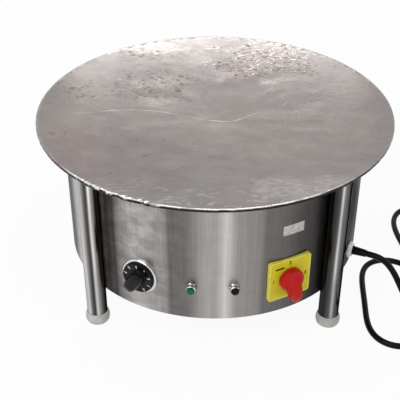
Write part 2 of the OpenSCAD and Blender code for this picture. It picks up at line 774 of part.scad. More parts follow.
module switch_handle() {
    top_l = grip_reach + hub_d / 2 - 10;
    color([0.78, 0.10, 0.11]) on_drum(switch_az, control_h) translate([0, 0, handle_back]) difference() {
        union() {
            cylinder(d = hub_d, h = hub_h - 3);
            translate([0, 0, hub_h - 3]) cylinder(d1 = hub_d, d2 = hub_d - 4, h = 3);
            hull() {
                translate([0, 0, 2]) cylinder(d = grip_w, h = 1, $fn = 32);
                translate([0, hub_d / 2 - grip_w / 2 - 2, grip_h - 4])
                    cylinder(d = grip_w - 5, h = 4, $fn = 32);
                translate([0, grip_tip_w / 2 - grip_reach, 3]) cylinder(d = grip_tip_w, h = 1, $fn = 32);
                translate([0, grip_tip_w / 2 - grip_reach + 1, grip_h - 7])
                    cylinder(d = grip_tip_w - 3, h = 4, $fn = 32);
            }
        }
        translate([0, 0, -1]) cylinder(d = shaft_d + 2 * run_clear, h = hub_h + 1.2, $fn = 48);
    }
}

// Indicator lamps

module lamp_ring(az) {
    foot = lamp_ring_t / 4;
    color(bright) on_drum(az, control_h) difference() {
        union() {
            translate([0, 0, -3]) cylinder(d = lamp_ring_d, h = 3 + foot);
            translate([0, 0, foot]) cylinder(d1 = lamp_ring_d, d2 = lens_d + 1.6, h = lamp_ring_t - foot);
        }
        drum_core(seat_gap);
        cylinder(d = barrel_d + 2 * shank_clear, h = 20, center = true);
        translate([0, 0, 2]) cylinder(d = lens_d + 2 * shank_clear, h = 20);
    }
}

module lamp_lens(az, tint) {
    low = 2 + seat_gap;
    rise = lamp_ring_t - low;
    ball_r = (lens_h * lens_h + lens_d * lens_d / 4) / (2 * lens_h);
    color(tint) on_drum(az, control_h) intersection() {
        translate([0, 0, low]) cylinder(d = lens_d, h = rise + lens_h + 1);
        translate([0, 0, lamp_ring_t + lens_h - ball_r]) union() {
            sphere(ball_r);
            translate([0, 0, -30]) cylinder(d = lens_d + 2, h = 30 + ball_r - lens_h);
        }
    }
}

module lamp_body(az) {
    color(black) on_drum(az, control_h) {
        translate([0, 0, -barrel_l]) cylinder(d = barrel_d, h = barrel_l + 2);
        for (x = [-3, 3]) translate([x - 0.4, -2.4, -barrel_l - 9]) cube([0.8, 4.8, 9 + eps]);
    }
}

module lamp_nut(az) {
    color(bright) on_drum(az, control_h) difference() {
        intersection() {
            translate([0, 0, -drum_wall - 6]) hex_bar(barrel_d + 5, 6);
            drum_core(-drum_wall - seat_gap);
        }
        cylinder(d = barrel_d + 2 * shank_clear, h = 30, center = true);
    }
}

// Base, terminals and wires

module base_cover() {
    color(stainless) difference() {
        translate([0, 0, cover_low]) cylinder(r = inner_r - 0.4, h = cover_t, $fn = 160);
        each_around(cover_screw_count, 15) translate([0, -cover_screw_r, cover_low - 5])
            cylinder(d = screw_d + 2 * shank_clear, h = 10, $fn = 32);
        each_around(vent_count) translate([-vent_w / 2, -vent_in - vent_l, cover_low - 5])
            cube([vent_w, vent_l, 10]);
        on_block() block_holes();
        translate(around(earth_az, earth_r, cover_low - 5))
            cylinder(d = 6 + 2 * shank_clear, h = 10, $fn = 32);
    }
}

module cover_screws() {
    color(zinc) each_around(cover_screw_count, 15) translate([0, -cover_screw_r, drum_clear - seat_gap]) {
        translate([0, 0, -screw_head_h]) cylinder(d = screw_head_d, h = screw_head_h, $fn = 32);
        translate([0, 0, -eps]) cylinder(d = screw_d, h = cover_screw_l, $fn = 32);
    }
}

earth_az = gland_az + 34;
earth_r = inner_r - earth_in;

// The terminal block lies across the way in of the cord
module on_block() {
    rotate([0, 0, gland_az]) translate([0, -block_r, block_low]) children();
}

module block_holes() {
    for (x = [-1, 1]) translate([x * (block_size.x / 2 - 5), 0, -10])
        cylinder(d = screw_d + 2 * shank_clear, h = 3 * block_h, $fn = 32);
}

module terminal_block() {
    color(ceramic_white) on_block() difference() {
        translate([-block_size.x / 2, -block_size.y / 2, 0]) cube(block_size);
        block_holes();
        for (x = [-1, 0, 1]) translate([x * 13, 0, block_size.z - 6]) cylinder(d = 7, h = 7, $fn = 32);
        for (x = [-0.5, 0.5]) translate([x * 13 - 1, -block_size.y, block_size.z - 5])
            cube([2, 2 * block_size.y, 6]);
    }
}

module block_screws() {
    color(zinc) on_block() for (x = [-1, 1]) translate([x * (block_size.x / 2 - 5), 0, 0])
        small_screw(block_size.z + seat_gap, block_size.z + 4);
}

module earth_stud() {
    color([0.80, 0.66, 0.30]) translate(around(earth_az, earth_r, 0)) {
        translate([0, 0, cover_low - seat_gap - 3]) hex_bar(10, 3 + eps);
        translate([0, 0, cover_low - seat_gap]) cylinder(d = 6, h = 22, $fn = 32);
        translate([0, 0, cover_high + seat_gap]) hex_bar(10, 5);
    }
}

// A point at the terminal block: across it, towards the middle, and up from its base
function by_block(x, y, z) =
    around(gland_az, block_r - y, block_low + z) + x * [cos(gland_az), sin(gland_az), 0];
// A point behind the selector switch: across it, up from its middle, and inwards from its back
function by_switch(x, y, in) =
    around(switch_az, drum_r - cam_depth - in, control_h + y) + x * [cos(switch_az), sin(switch_az), 0];
// A point under a terminal pin of an element, on one side of its gap
function by_pin(r, side, down) =
    around(element_az + side * (element_gap / 2 + 90 * pin_d / (PI * r) + 1), r, pin_low - down);
// The middle of a wire that crosses under a terminal pin
function pin_tip(r, side) = by_pin(r, side, wire_d / 2 + seat_gap);

block_face = block_size.y / 2 + seat_gap;
block_wire_z = block_size.z / 2;
tap_x = cam_w / 4.4;
tap_y = cam_w / 5.5;

module wire_live() {
    color([0.55, 0.12, 0.10]) tube([
        by_block(-13, block_face, block_wire_z), by_block(-13, block_face + 8, block_wire_z),
        by_block(-24, block_face + wire_bow, block_wire_z + 4), by_switch(6, -24, wire_bow),
        by_switch(0, -14, 14), by_switch(0, -12, 6), by_switch(0, -12, seat_gap),
    ], wire_d, 6);
}

module wire_neutral() {
    tip = pin_tip(outer_ring_r, 1);
    color([0.12, 0.20, 0.55]) tube([
        by_block(0, block_face, block_wire_z), by_block(0, block_face + 8, block_wire_z),
        by_block(wire_d, block_face + 1.2 * wire_bow, block_wire_z + wire_bow),
        by_pin(outer_ring_r, 1, 2.4 * wire_bow) - wire_bow * [0.7, 0.8, 0],
        by_pin(outer_ring_r, 1, wire_bow / 2) - wire_bow * [0.36, 0.22, 0],
        tip + [-2, 0, 0], tip + [4, 1, 0],
    ], wire_d, 6);
}

module wire_inner() {
    tip = pin_tip(inner_ring_r, -1);
    color([0.75, 0.72, 0.65]) tube([
        by_switch(-tap_x, tap_y, seat_gap), by_switch(-tap_x, tap_y, 8),
        by_switch(-tap_y, wire_bow, 1.4 * wire_bow),
        by_pin(inner_ring_r, -1, 0.7 * wire_bow) + wire_bow * [0.36, -0.9, 0],
        tip + [3, -7, -1], tip, tip + [-1, 4, 0],
    ], wire_d, 6);
}

module wire_outer() {
    tip = pin_tip(outer_ring_r, -1);
    color([0.75, 0.72, 0.65]) tube([
        by_switch(tap_x, tap_y, seat_gap), by_switch(tap_x, tap_y, 8),
        by_switch(tap_y, 1.2 * wire_bow, 0.7 * wire_bow),
        by_pin(outer_ring_r, -1, 14) + [-14, -4, 0],
        tip + [-6, -1, -1], tip, tip + [4, 0, 0],
    ], wire_d, 6);
}

module wire_earth() {
    stud = around(earth_az, earth_r, cover_high + 5 + 2 * seat_gap + wire_d / 2);
    color([0.30, 0.50, 0.15]) tube([
        by_block(13, block_face, block_wire_z), by_block(13, block_face + 8, block_wire_z),
        by_block(26, block_face + 16, block_wire_z + 4), stud + [-14, -22, 4],
        stud + [-4.8, -9, 0], stud + [-4.8, -1, 0], stud + [-4.8, 4, 0],
    ], wire_d, 6);
}

// Cable gland, cord, coil and plug

module gland_body() {
    color(pale_grey) on_drum(gland_az, gland_h) difference() {
        union() {
            difference() {
                union() {
                    translate([0, 0, -3]) hex_bar(gland_flats, gland_out);
                    translate([0, 0, gland_out - 3 - eps])
                        cylinder(d1 = gland_flats, d2 = gland_flats - 3, h = 3);
                }
                drum_core(seat_gap);
            }
            translate([0, 0, -14]) cylinder(d = gland_barrel_d, h = 14 + gland_out - 4);
        }
        cylinder(d = cord_d + 2 * shank_clear, h = 60, center = true);
        translate([0, 0, gland_out - 5]) cylinder(d = cord_d + 4 + 2 * shank_clear, h = 10);
    }
}

module gland_nut() {
    color(pale_grey) on_drum(gland_az, gland_h) difference() {
        intersection() {
            translate([0, 0, -drum_wall - 7]) hex_bar(gland_flats, 7);
            drum_core(-drum_wall - seat_gap);
        }
        cylinder(d = gland_barrel_d + 2 * shank_clear, h = 30, center = true);
    }
}

module sleeve() {
    color(black) on_drum(gland_az, gland_h) difference() {
        union() {
            translate([0, 0, gland_out - 5 + seat_gap]) cylinder(d = cord_d + 4, h = 5);
            translate([0, 0, gland_out]) cylinder(d1 = cord_d + 4, d2 = cord_d + 1.6, h = sleeve_l);
        }
        cylinder(d = cord_d + 2 * shank_clear, h = 4 * sleeve_out, center = true);
    }
}

module cord_inner() {
    color(black) tube(inner_route, cord_d, 10);
}

module cord_lead() {
    color(black) tube(lead_curve, cord_d, 10);
}

module cord_coil() {
    color(black) tube(coil_way, cord_d, 6);
}

// The tie's band goes round all turns at the coil's front
module coil_tie() {
    far = coil_out_r - coil_pitch / 2 + cord_r + 0.5;
    near = coil_out_r - 1.5 * coil_pitch - cord_r - 1.4;
    low = coil_low - cord_r - 0.4;
    high = coil_low + coil_pitch + cord_r + 0.5;
    color([0.16, 0.16, 0.16]) translate([coil_mid.x - tie_w / 2, coil_mid.y, 0]) rotate([90, 0, 90])
        linear_extrude(tie_w) difference() {
            translate([-far - tie_t, low - tie_t]) square([far - near + 2 * tie_t, high - low + 2 * tie_t]);
            translate([-far, low]) square([far - near, high - low]);
        }
}

module plug_body() {
    mid = [plug_in.x, plug_in.y - plug_sleeve_l];
    color(black) {
        translate([mid.x, mid.y, plug_low]) linear_extrude(plug_high - plug_low) hull() {
            for (x = [-1, 1]) translate([x * (plug_w / 2 - 9), -9]) circle(9, $fn = 32);
            translate([0, -plug_l + plug_w / 2 - 4]) circle(plug_w / 2 - 4, $fn = 48);
        }
        translate([mid.x, mid.y - 2, plug_mid_z]) rotate([-90, 0, 0])
            cylinder(d1 = cord_d + 8, d2 = cord_d + 2, h = plug_sleeve_l + 2 - seat_gap);
    }
}

module plug_pins() {
    mid = [plug_in.x, plug_in.y - plug_sleeve_l - plug_l / 2, plug_high];
    color([0.80, 0.66, 0.30]) translate(mid) {
        for (x = [-1, 1]) translate([x * plug_pitch / 2, plug_earth / 2 - 2, 0])
            cylinder(d = 7.05, h = 18, $fn = 32);
        translate([0, -plug_earth / 2 - 2, 0]) cylinder(d = 8.7, h = 24, $fn = 32);
    }
}

tawa_plate();
drum_shell();
leg(-leg_az);  // leg_front_left
leg(leg_az);  // leg_front_right
leg(180 + leg_az);  // leg_rear_left
leg(180 - leg_az);  // leg_rear_right
foot(-leg_az);  // foot_front_left
foot(leg_az);  // foot_front_right
foot(180 + leg_az);  // foot_rear_left
foot(180 - leg_az);  // foot_rear_right
leg_bolts();
plate_studs();
plate_nuts();
reflector_pan();
insulation_board();
element(inner_ring_r);  // inner_element
element(outer_ring_r);  // outer_element
element_spider();
spider_stud();
spider_nut();
thermostat_bezel();
thermostat_screws();
thermostat_body();
thermostat_spindle();
thermostat_knob();
thermostat_bulb();
bulb_clip();
capillary_tube();
switch_plate();
switch_screws();
switch_body();
switch_shaft();
switch_handle();
lamp_ring(-lamp_az);  // lamp_left_ring
lamp_lens(-lamp_az, [0.05, 0.30, 0.14]);  // lamp_left_lens
lamp_body(-lamp_az);  // lamp_left_body
lamp_nut(-lamp_az);  // lamp_left_nut
lamp_ring(lamp_az);  // lamp_right_ring
lamp_lens(lamp_az, [0.25, 0.04, 0.03]);  // lamp_right_lens
lamp_body(lamp_az);  // lamp_right_body
lamp_nut(lamp_az);  // lamp_right_nut
base_cover();
cover_screws();
terminal_block();
block_screws();
earth_stud();
wire_live();
wire_neutral();
wire_inner();
wire_outer();
wire_earth();
gland_body();
gland_nut();
sleeve();
cord_inner();
cord_lead();
cord_coil();
coil_tie();
plug_body();
plug_pins();
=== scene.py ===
import json
import math

import bpy
from mathutils import Matrix, Vector


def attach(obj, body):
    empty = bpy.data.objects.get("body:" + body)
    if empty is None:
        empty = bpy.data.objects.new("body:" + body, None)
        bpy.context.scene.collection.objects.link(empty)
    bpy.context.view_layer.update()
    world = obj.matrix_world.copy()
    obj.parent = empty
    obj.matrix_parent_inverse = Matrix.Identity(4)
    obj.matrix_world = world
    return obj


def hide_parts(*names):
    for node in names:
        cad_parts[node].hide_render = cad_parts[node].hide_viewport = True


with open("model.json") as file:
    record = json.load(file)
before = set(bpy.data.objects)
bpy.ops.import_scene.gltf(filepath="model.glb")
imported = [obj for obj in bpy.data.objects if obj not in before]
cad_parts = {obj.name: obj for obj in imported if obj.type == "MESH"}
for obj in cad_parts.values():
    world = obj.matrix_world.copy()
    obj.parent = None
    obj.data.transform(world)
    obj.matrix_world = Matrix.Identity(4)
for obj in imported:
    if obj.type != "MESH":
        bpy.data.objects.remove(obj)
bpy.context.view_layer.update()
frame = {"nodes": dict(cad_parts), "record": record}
nodes = frame["nodes"]
scene = bpy.context.scene
scene.view_settings.view_transform = "Standard"
print("frame loaded:", len(nodes), "nodes")

# the camera, at the photograph's viewing angle
photoView = {
    "place": (0.0, -1.1188, 0.8602), "down": 34.127, "turn": 1.082,
    "lens": 79.19, "sensor": 36, "far": 50,
}


def addCamera(view):
    data = bpy.data.cameras.new("photoCamera")
    data.lens, data.sensor_width, data.clip_end = view["lens"], view["sensor"], view["far"]
    camera = bpy.data.objects.new("photoCamera", data)
    camera.location = view["place"]
    camera.rotation_euler = (math.radians(90 - view["down"]), 0, math.radians(view["turn"]))
    scene.collection.objects.link(camera)
    scene.camera = camera


addCamera(photoView)
print("camera placed")

# the drum's radius, the ring that its legs stand on and their angles from the front
drum = {
    "radius": 0.217, "legRing": 0.2305,
    "legs": {"front_left": -46, "front_right": 46, "rear_left": 226, "rear_right": 134},
}


def turnBy(degrees, axis):
    return Matrix.Rotation(math.radians(degrees), 4, axis)


def shiftBy(x, y, z):
    return Matrix.Translation((x, y, z))


# a point at an angle from the front, a distance from the middle and a height
def aroundDrum(angle, radius, height):
    a = math.radians(angle)
    return Vector((radius * math.sin(a), -radius * math.cos(a), height))


# a place on the drum's face: x to the right, y up, z out of the drum
def onDrum(angle, height, out=0.0):
    return turnBy(angle, "Z") @ shiftBy(0, -drum["radius"], height) @ turnBy(90, "X") @ shiftBy(0, 0, out)


def pickNone():
    bpy.ops.object.select_all(action="DESELECT")


def pickOnly(piece):
    pickNone()
    piece.select_set(True)
    bpy.context.view_layer.objects.active = piece


def smoothBelow(degrees):
    bpy.ops.object.shade_smooth_by_angle(angle=math.radians(degrees))


# rides, replaces and names the finish of a piece in one go
def fit(piece, body, slot, *replaced):
    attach(piece, body)
    if replaced:
        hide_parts(*replaced)
    fitted.append((piece, slot))


fitted = []

# the mains cord, from the sleeve's tip over the floor to its tied coil and its plug
cord = {
    "diameter": 0.009,
    "exitAngle": 66,
    "exitHeight": 0.078,
    "exitRadius": 0.243,
    "floor": 0.0046,
    "steps": 6,  # from each point of its way to the next
    "coilMiddle": (0.160, 0.170),  # from the sleeve's tip
    "coilRadius": 0.057,
    "coilLow": 0.0064,
    "coilPitch": 0.0096,
    "coilTurns": 1.375,
    "coilReverse": 0.5,
    "coilPoints": 24,  # a turn
    "tail": 0.048,
}
# across the floor from the sleeve's tip, and the height of the cord's middle (None lies on the floor)
leadWay = [
    (0.018, -0.0083, 0.0776), (0.0285, -0.0144, 0.0732), (0.039, -0.0218, 0.0615), (0.049, -0.0304, 0.043),
    (0.0595, -0.0405, 0.0225), (0.071, -0.0535, 0.0075), (0.083, -0.078, None), (0.072, -0.107, None),
    (0.041, -0.12, None), (0.01, -0.106, None), (-0.001, -0.074, None), (0.002, -0.035, None),
    (0.004, 0.005, None), (0.006, 0.042, None), (0.018, 0.071, None), (0.047, 0.083, None),
    (0.076, 0.071, None), (0.097, 0.048, None), (0.118, 0.034, None), (0.144, 0.035, None),
    (0.174, 0.022, None), (0.186, -0.009, None), (0.174, -0.04, None), (0.143, -0.053, None),
    (0.112, -0.041, None), (0.098, -0.011, 0.005), (0.097, 0.022, 0.0125), (0.094, 0.052, 0.0175),
    (0.089, 0.082, 0.012), (0.084, 0.112, 0.005), (0.079, 0.144, None), (0.076, 0.182, None),
    (0.09, 0.216, None), (0.122, 0.228, 0.0056),
]


# the smooth curve that a list of points guides, which starts and ends at its ends
def smoothWay(points, steps):
    guides = [2 * points[0] - points[1]] + points + [2 * points[-1] - points[-2]]
    way = []
    for a, b, c, d in zip(guides, guides[1:], guides[2:], guides[3:]):
        for k in range(steps):
            t = k / steps
            way.append(((1 - t) ** 3 * a + (3 * t ** 3 - 6 * t * t + 4) * b
                        + (3 * t + 3 * t * t - 3 * t ** 3 + 1) * c + t ** 3 * d) / 6)
    return way + [points[-1]]


# the coil spirals in and out again, and climbs a layer in the half turn where it reverses
def coilWay(size, middle):
    total = 2 * size["coilTurns"] + size["coilReverse"]
    way = []
    for i in range(round(total * size["coilPoints"]) + 1):
        t = i / size["coilPoints"]
        radius = size["coilRadius"] - size["coilPitch"] * min(t, total - t)
        climb = min(1, max(0, (t - size["coilTurns"]) / size["coilReverse"]))
        angle = math.radians(90 - 360 * t)
        way.append(Vector((middle.x + radius * math.cos(angle), middle.y + radius * math.sin(angle),
                           size["coilLow"] + size["coilPitch"] * climb)))
    return way


def makeCord(size):
    thick = size["diameter"]
    start = aroundDrum(size["exitAngle"], size["exitRadius"], size["exitHeight"])
    tip = start.xy
    middle = tip + Vector(size["coilMiddle"])
    coilStart = Vector((middle.x - thick, middle.y + size["coilRadius"], size["coilLow"]))
    route = [start, aroundDrum(size["exitAngle"], size["exitRadius"] + thick, size["exitHeight"])]
    for x, y, z in leadWay:
        route.append(Vector((tip.x + x, tip.y + y, size["floor"] if z is None else z)))
    route += [coilStart - Vector((thick, 0, 0)), coilStart]
    plugIn = Vector((middle.x + size["coilRadius"], middle.y - size["tail"],
                     size["coilLow"] + size["coilPitch"]))
    way = smoothWay(route, size["steps"]) + [coilStart + Vector((thick / 2, 0, 0))] + coilWay(size, middle)
    way += [plugIn + Vector((0, 2 * thick, 0)), plugIn + Vector((0, thick, 0)), plugIn]

    data = bpy.data.curves.new("mainsCord", "CURVE")
    data.dimensions = "3D"
    data.bevel_depth = thick / 2
    data.bevel_resolution = 5
    data.use_fill_caps = True
    spline = data.splines.new("POLY")
    spline.points.add(len(way) - 1)
    for point, place in zip(spline.points, way):
        point.co = (*place, 1)
    spline.use_smooth = True
    piece = bpy.data.objects.new("mainsCord", data)
    scene.collection.objects.link(piece)
    pickOnly(piece)
    bpy.ops.object.convert(target="MESH")
    smoothBelow(50)
    length = sum((b - a).length for a, b in zip(way, way[1:]))
    return bpy.context.object, way, length


mainsCord, cordRoute, cordLength = makeCord(cord)
fit(mainsCord, "griddle", "cord_black", "cord_lead", "cord_coil")
print("mains cord laid:", round(cordLength, 3), "m")


# modelling, as by hand
def leaveEdit():
    bpy.ops.object.mode_set(mode="OBJECT")


def editAll():
    bpy.ops.object.mode_set(mode="EDIT")
    bpy.ops.mesh.select_all(action="SELECT")


# picks faces, edges or corners of a piece in edit mode, by their place (and a face's normal)
def pickParts(piece, kind, test):
    bpy.ops.object.mode_set(mode="EDIT")
    bpy.ops.mesh.select_mode(type=kind)
    bpy.ops.mesh.select_all(action="DESELECT")
    leaveEdit()
    mesh = piece.data
    if kind == "FACE":
        for face in mesh.polygons:
            face.select = test(face.center, face.normal)
    elif kind == "EDGE":
        for edge in mesh.edges:
            edge.select = test(*(mesh.vertices[i].co for i in edge.vertices))
    else:
        for corner in mesh.vertices:
            corner.select = test(corner.co)
    bpy.ops.object.mode_set(mode="EDIT")


def pickTop(piece):
    pickParts(piece, "FACE", lambda at, way: way.z > 0.9)


def scaleBy(x, y, z):
    bpy.ops.transform.resize(value=(x, y, z))


def moveBy(x, y, z):
    bpy.ops.transform.translate(value=(x, y, z))


def extrudeBy(rise):
    bpy.ops.mesh.extrude_region_move(TRANSFORM_OT_translate={"value": (0, 0, rise)})


# draws a picked round face up through heights and radii
def drawUp(height, radius, steps):
    for nextHeight, nextRadius in steps:
        extrudeBy(nextHeight - height)
        scaleBy(nextRadius / radius, nextRadius / radius, 1)
        height, radius = nextHeight, nextRadius
    return height, radius


# sinks a round hole into a picked round face
def sinkHole(height, radius, hole, floor):
    bpy.ops.mesh.inset(thickness=radius - hole)
    extrudeBy(floor - height)
    leaveEdit()


def newPiece(name):
    piece = bpy.context.object
    piece.name = piece.data.name = name
    return piece


# a copy with its own mesh
def copyPiece(piece, name):
    made = piece.copy()
    made.data = piece.data.copy()
    made.name = made.data.name = name
    scene.collection.objects.link(made)
    return made


def joinAs(name, parts):
    pickNone()
    for part in parts:
        part.select_set(True)
    bpy.context.view_layer.objects.active = parts[0]
    bpy.ops.object.join()
    return newPiece(name)


# adds a modifier, sets it and applies it
def applyModifier(piece, kind, **settings):
    made = piece.modifiers.new(kind.lower(), kind)
    for key, value in settings.items():
        setattr(made, key, value)
    pickOnly(piece)
    bpy.ops.object.modifier_apply(modifier=made.name)


def softenEdges(piece, width, steps=3, sharper=35):
    applyModifier(piece, "BEVEL", width=width, segments=steps, limit_method="ANGLE",
                  angle_limit=math.radians(sharper), use_clamp_overlap=True)
    smoothBelow(40)


def cutAway(piece, shape):
    applyModifier(piece, "BOOLEAN", object=shape, operation="DIFFERENCE", solver="EXACT")
    bpy.data.objects.remove(shape)


# puts a piece where it belongs, with its place in its mesh
def putAt(piece, place):
    piece.matrix_world = place
    pickOnly(piece)
    bpy.ops.object.transform_apply(location=True, rotation=True, scale=True)


def addCylinder(radius, low, high, sides=96):
    pickNone()
    bpy.ops.mesh.primitive_cylinder_add(vertices=sides, radius=radius, depth=high - low,
                                        location=(0, 0, (low + high) / 2))
    bpy.ops.object.transform_apply(location=True)
    return bpy.context.object


def addBlock(low, high):
    pickNone()
    size = Vector(high) - Vector(low)
    bpy.ops.mesh.primitive_cube_add(size=1, location=(Vector(low) + Vector(high)) / 2, scale=size)
    bpy.ops.object.transform_apply(location=True, scale=True)
    return bpy.context.object


# hollows a piece behind, so that it sits on the drum
def hollowBehind(piece, gap):
    barrel = addCylinder(drum["radius"] + gap, -0.1, 0.1, 320)
    putAt(barrel, shiftBy(0, 0, -drum["radius"]) @ turnBy(90, "X"))
    cutAway(piece, barrel)


# the cooking plate: a dished disc, its cut rim uneven and burred at the front left
plate = {
    "radius": 0.254, "rim": 0.260, "dish": 0.014, "thick": 0.004,
    "points": 720, "rings": 30, "crowding": 1.5,  # narrow rings at the rim, wide ones in the middle
    "nick": 0.0024, "nickGrain": 0.0035, "nickDepth": 0.004,  # how far the rim wanders where it is burred
    "burrs": (-47, -14), "burrFade": 5,  # between these angles from the front the rim is roughest
    "calm": 0.14,  # the wander elsewhere, as a share
    "dent": 0.0010, "dentGrain": 0.06, "dentReach": 0.185, "dentFade": 0.05,
    "soft": 0.0006,
}


def dishHeight(size, radius):
    return size["rim"] - size["dish"] * (1 - (radius / size["radius"]) ** 2)


def makePlate(size):
    pickNone()
    bpy.ops.mesh.primitive_circle_add(vertices=size["points"], radius=size["radius"], fill_type="NGON",
                                      location=(0, 0, size["rim"]))
    bpy.ops.object.transform_apply(location=True)
    piece = newPiece("tawaPlate")
    editAll()
    outer = size["radius"]
    for k in range(size["rings"]):
        inner = size["radius"] * (1 - ((k + 1) / (size["rings"] + 1)) ** size["crowding"])
        bpy.ops.mesh.inset(thickness=outer - inner, depth=dishHeight(size, inner) - dishHeight(size, outer))
        outer = inner
    bpy.ops.mesh.poke()
    leaveEdit()

    rim = piece.vertex_groups.new(name="rim")
    hollow = piece.vertex_groups.new(name="hollow")
    low, high = size["burrs"]
    for corner in piece.data.vertices:
        radius = corner.co.xy.length
        angle = math.degrees(math.atan2(corner.co.x, -corner.co.y))
        edge = max(0, 1 - (size["radius"] - radius) / size["nickDepth"])
        rough = max(0, min(1, (angle - low) / size["burrFade"], (high - angle) / size["burrFade"]))
        rim.add([corner.index], edge * (size["calm"] + (1 - size["calm"]) * rough), "REPLACE")
        dented = max(0, min(1, (size["dentReach"] - radius) / size["dentFade"]))
        hollow.add([corner.index], dented, "REPLACE")
    nicks = bpy.data.textures.new("rimNicks", "CLOUDS")
    nicks.noise_scale, nicks.noise_depth, nicks.cloud_type = size["nickGrain"], 2, "COLOR"
    applyModifier(piece, "DISPLACE", texture=nicks, direction="RGB_TO_XYZ", texture_coords="LOCAL",
                  vertex_group="rim", strength=2 * size["nick"], mid_level=0.5)
    dents = bpy.data.textures.new("plateDents", "CLOUDS")
    dents.noise_scale, dents.noise_depth = size["dentGrain"], 2
    applyModifier(piece, "DISPLACE", texture=dents, direction="Z", texture_coords="LOCAL",
                  vertex_group="hollow", strength=size["dent"], mid_level=0.5)
    applyModifier(piece, "SOLIDIFY", thickness=size["thick"], offset=-1)
    piece.vertex_groups.clear()
    softenEdges(piece, size["soft"], 2, 50)
    return piece


fit(makePlate(plate), "griddle", "plate_steel", "tawa_plate")
print("cooking plate shaped")

# the thermostat knob: a low skirt with a nosed grip across it, and its dial
knob = {
    "angle": -27, "height": 0.109, "back": 0.0036,
    "radius": 0.0235, "skirt": 0.004, "skirtTop": 0.955,
    "edge": 0.0012, "groove": 0.0003, "soft": 0.0005,
    "gripLength": 0.038, "gripWidth": 0.0195, "gripHeight": 0.015, "gripLow": 0.001,
    "gripTop": (0.94, 0.74), "tailWidth": 0.6, "noseWidth": 0.72, "noseDrop": 0.0012,
    "nose": -125,  # where the grip points, from its right
    "marks": "0123456", "markSize": 0.0042, "firstMark": 66, "markStep": 38, "markDrop": 0.00028,
    "markRadius": 0.0181, "tickRadius": 0.0211, "tick": (0.0016, 0.0006),
}


def makeKnob(size):
    skirt = addCylinder(size["radius"], 0, size["skirt"], 128)
    pickTop(skirt)
    scaleBy(size["skirtTop"], size["skirtTop"], 1)
    bpy.ops.mesh.inset(thickness=size["edge"], depth=-size["groove"])
    leaveEdit()
    softenEdges(skirt, size["soft"], 2)

    half, wide, top = size["gripLength"] / 2, size["gripWidth"] / 2, size["skirt"] + size["gripHeight"]
    grip = addBlock((-half, -wide, size["gripLow"]), (half, wide, top))
    editAll()
    bpy.ops.mesh.subdivide(number_cuts=3)
    # sides lean in towards the top, the tail is narrower than the nose, and the nose drops
    pickParts(grip, "VERT", lambda at: at.z > top - 0.0001)
    scaleBy(*size["gripTop"], 1)
    pickParts(grip, "VERT", lambda at: at.x < -half * 0.9)
    scaleBy(1, size["tailWidth"], 1)
    pickParts(grip, "VERT", lambda at: at.x > half * 0.9)
    scaleBy(1, size["noseWidth"], 1)
    pickParts(grip, "VERT", lambda at: at.x > half * 0.9 and at.z > top * 0.8)
    moveBy(-size["noseDrop"], 0, -size["noseDrop"])
    leaveEdit()
    applyModifier(grip, "SUBSURF", levels=3, render_levels=3)
    bpy.ops.object.shade_smooth()
    putAt(grip, turnBy(size["nose"], "Z"))
    piece = joinAs("thermostatKnob", [skirt, grip])
    putAt(piece, onDrum(size["angle"], size["height"], size["back"]))
    return piece


# flat figures and strokes, with a hair's thickness
lettering = {"thick": 0.00006, "soft": 0.00003, "body": 1.38, "bolder": 0.035}


def makeFigure(words, tall):
    pickNone()
    bpy.ops.object.text_add()
    data = bpy.context.object.data
    data.body = words
    data.size = tall * lettering["body"]
    data.align_x, data.align_y = "CENTER", "CENTER"
    data.resolution_u = 6
    data.extrude = lettering["thick"]
    data.offset = tall * lettering["bolder"]
    bpy.ops.object.convert(target="MESH")
    return bpy.context.object


def makeStroke(long, wide):
    thick = lettering["thick"]
    piece = addBlock((-wide / 2, -long / 2, -thick), (wide / 2, long / 2, thick))
    softenEdges(piece, lettering["soft"], 1)
    return piece


def makeDial(size):
    parts = []
    face = onDrum(size["angle"], size["height"], size["back"] + size["skirt"] - size["markDrop"])
    for k, words in enumerate(size["marks"]):
        at = face @ turnBy(size["nose"] + size["firstMark"] + size["markStep"] * k - 90, "Z")
        figure = makeFigure(words, size["markSize"])
        putAt(figure, at @ shiftBy(0, size["markRadius"], 0))
        tick = makeStroke(*size["tick"])
        putAt(tick, at @ shiftBy(0, size["tickRadius"], 0))
        parts += [figure, tick]
    return joinAs("knobDial", parts)


fit(makeKnob(knob), "knob", "knob_black", "thermostat_knob")
fit(makeDial(knob), "knob", "bright_trim")
print("thermostat knob shaped")

# the selector's plate: square, with a raised edge, hollowed behind to sit on the drum
switchPlate = {
    "angle": 28, "height": 0.109, "width": 0.064, "behind": 0.006, "front": 0.0036, "corner": 0.0042,
    "edge": 0.0024, "slope": 0.0005, "rise": 0.0008, "soft": 0.00045, "gap": 0.0001, "bore": 0.0045,
    "marks": {"0": -90, "1": 180, "2": 90, "3": 0}, "markSize": 0.0056, "markRadius": 0.0248,
    "markLift": 0.00002,
    "bar": (-0.0160, 0.0194, 0.0135, 0.0026),  # where a plain bar stands, its length and width
}


def makeSwitchPlate(size):
    half = size["width"] / 2
    piece = addBlock((-half, -half, -size["behind"]), (half, half, size["front"]))
    pickParts(piece, "EDGE", lambda a, b: abs(a.z - b.z) > size["front"])
    bpy.ops.mesh.bevel(offset=size["corner"], segments=8)
    pickTop(piece)
    bpy.ops.mesh.inset(thickness=size["edge"])
    bpy.ops.mesh.inset(thickness=size["slope"], depth=-size["rise"])
    leaveEdit()
    softenEdges(piece, size["soft"])
    hollowBehind(piece, size["gap"])
    cutAway(piece, addCylinder(size["bore"], -0.02, 0.02, 48))
    pickOnly(piece)
    smoothBelow(40)
    newPiece("switchPlate")
    putAt(piece, onDrum(size["angle"], size["height"]))
    return piece


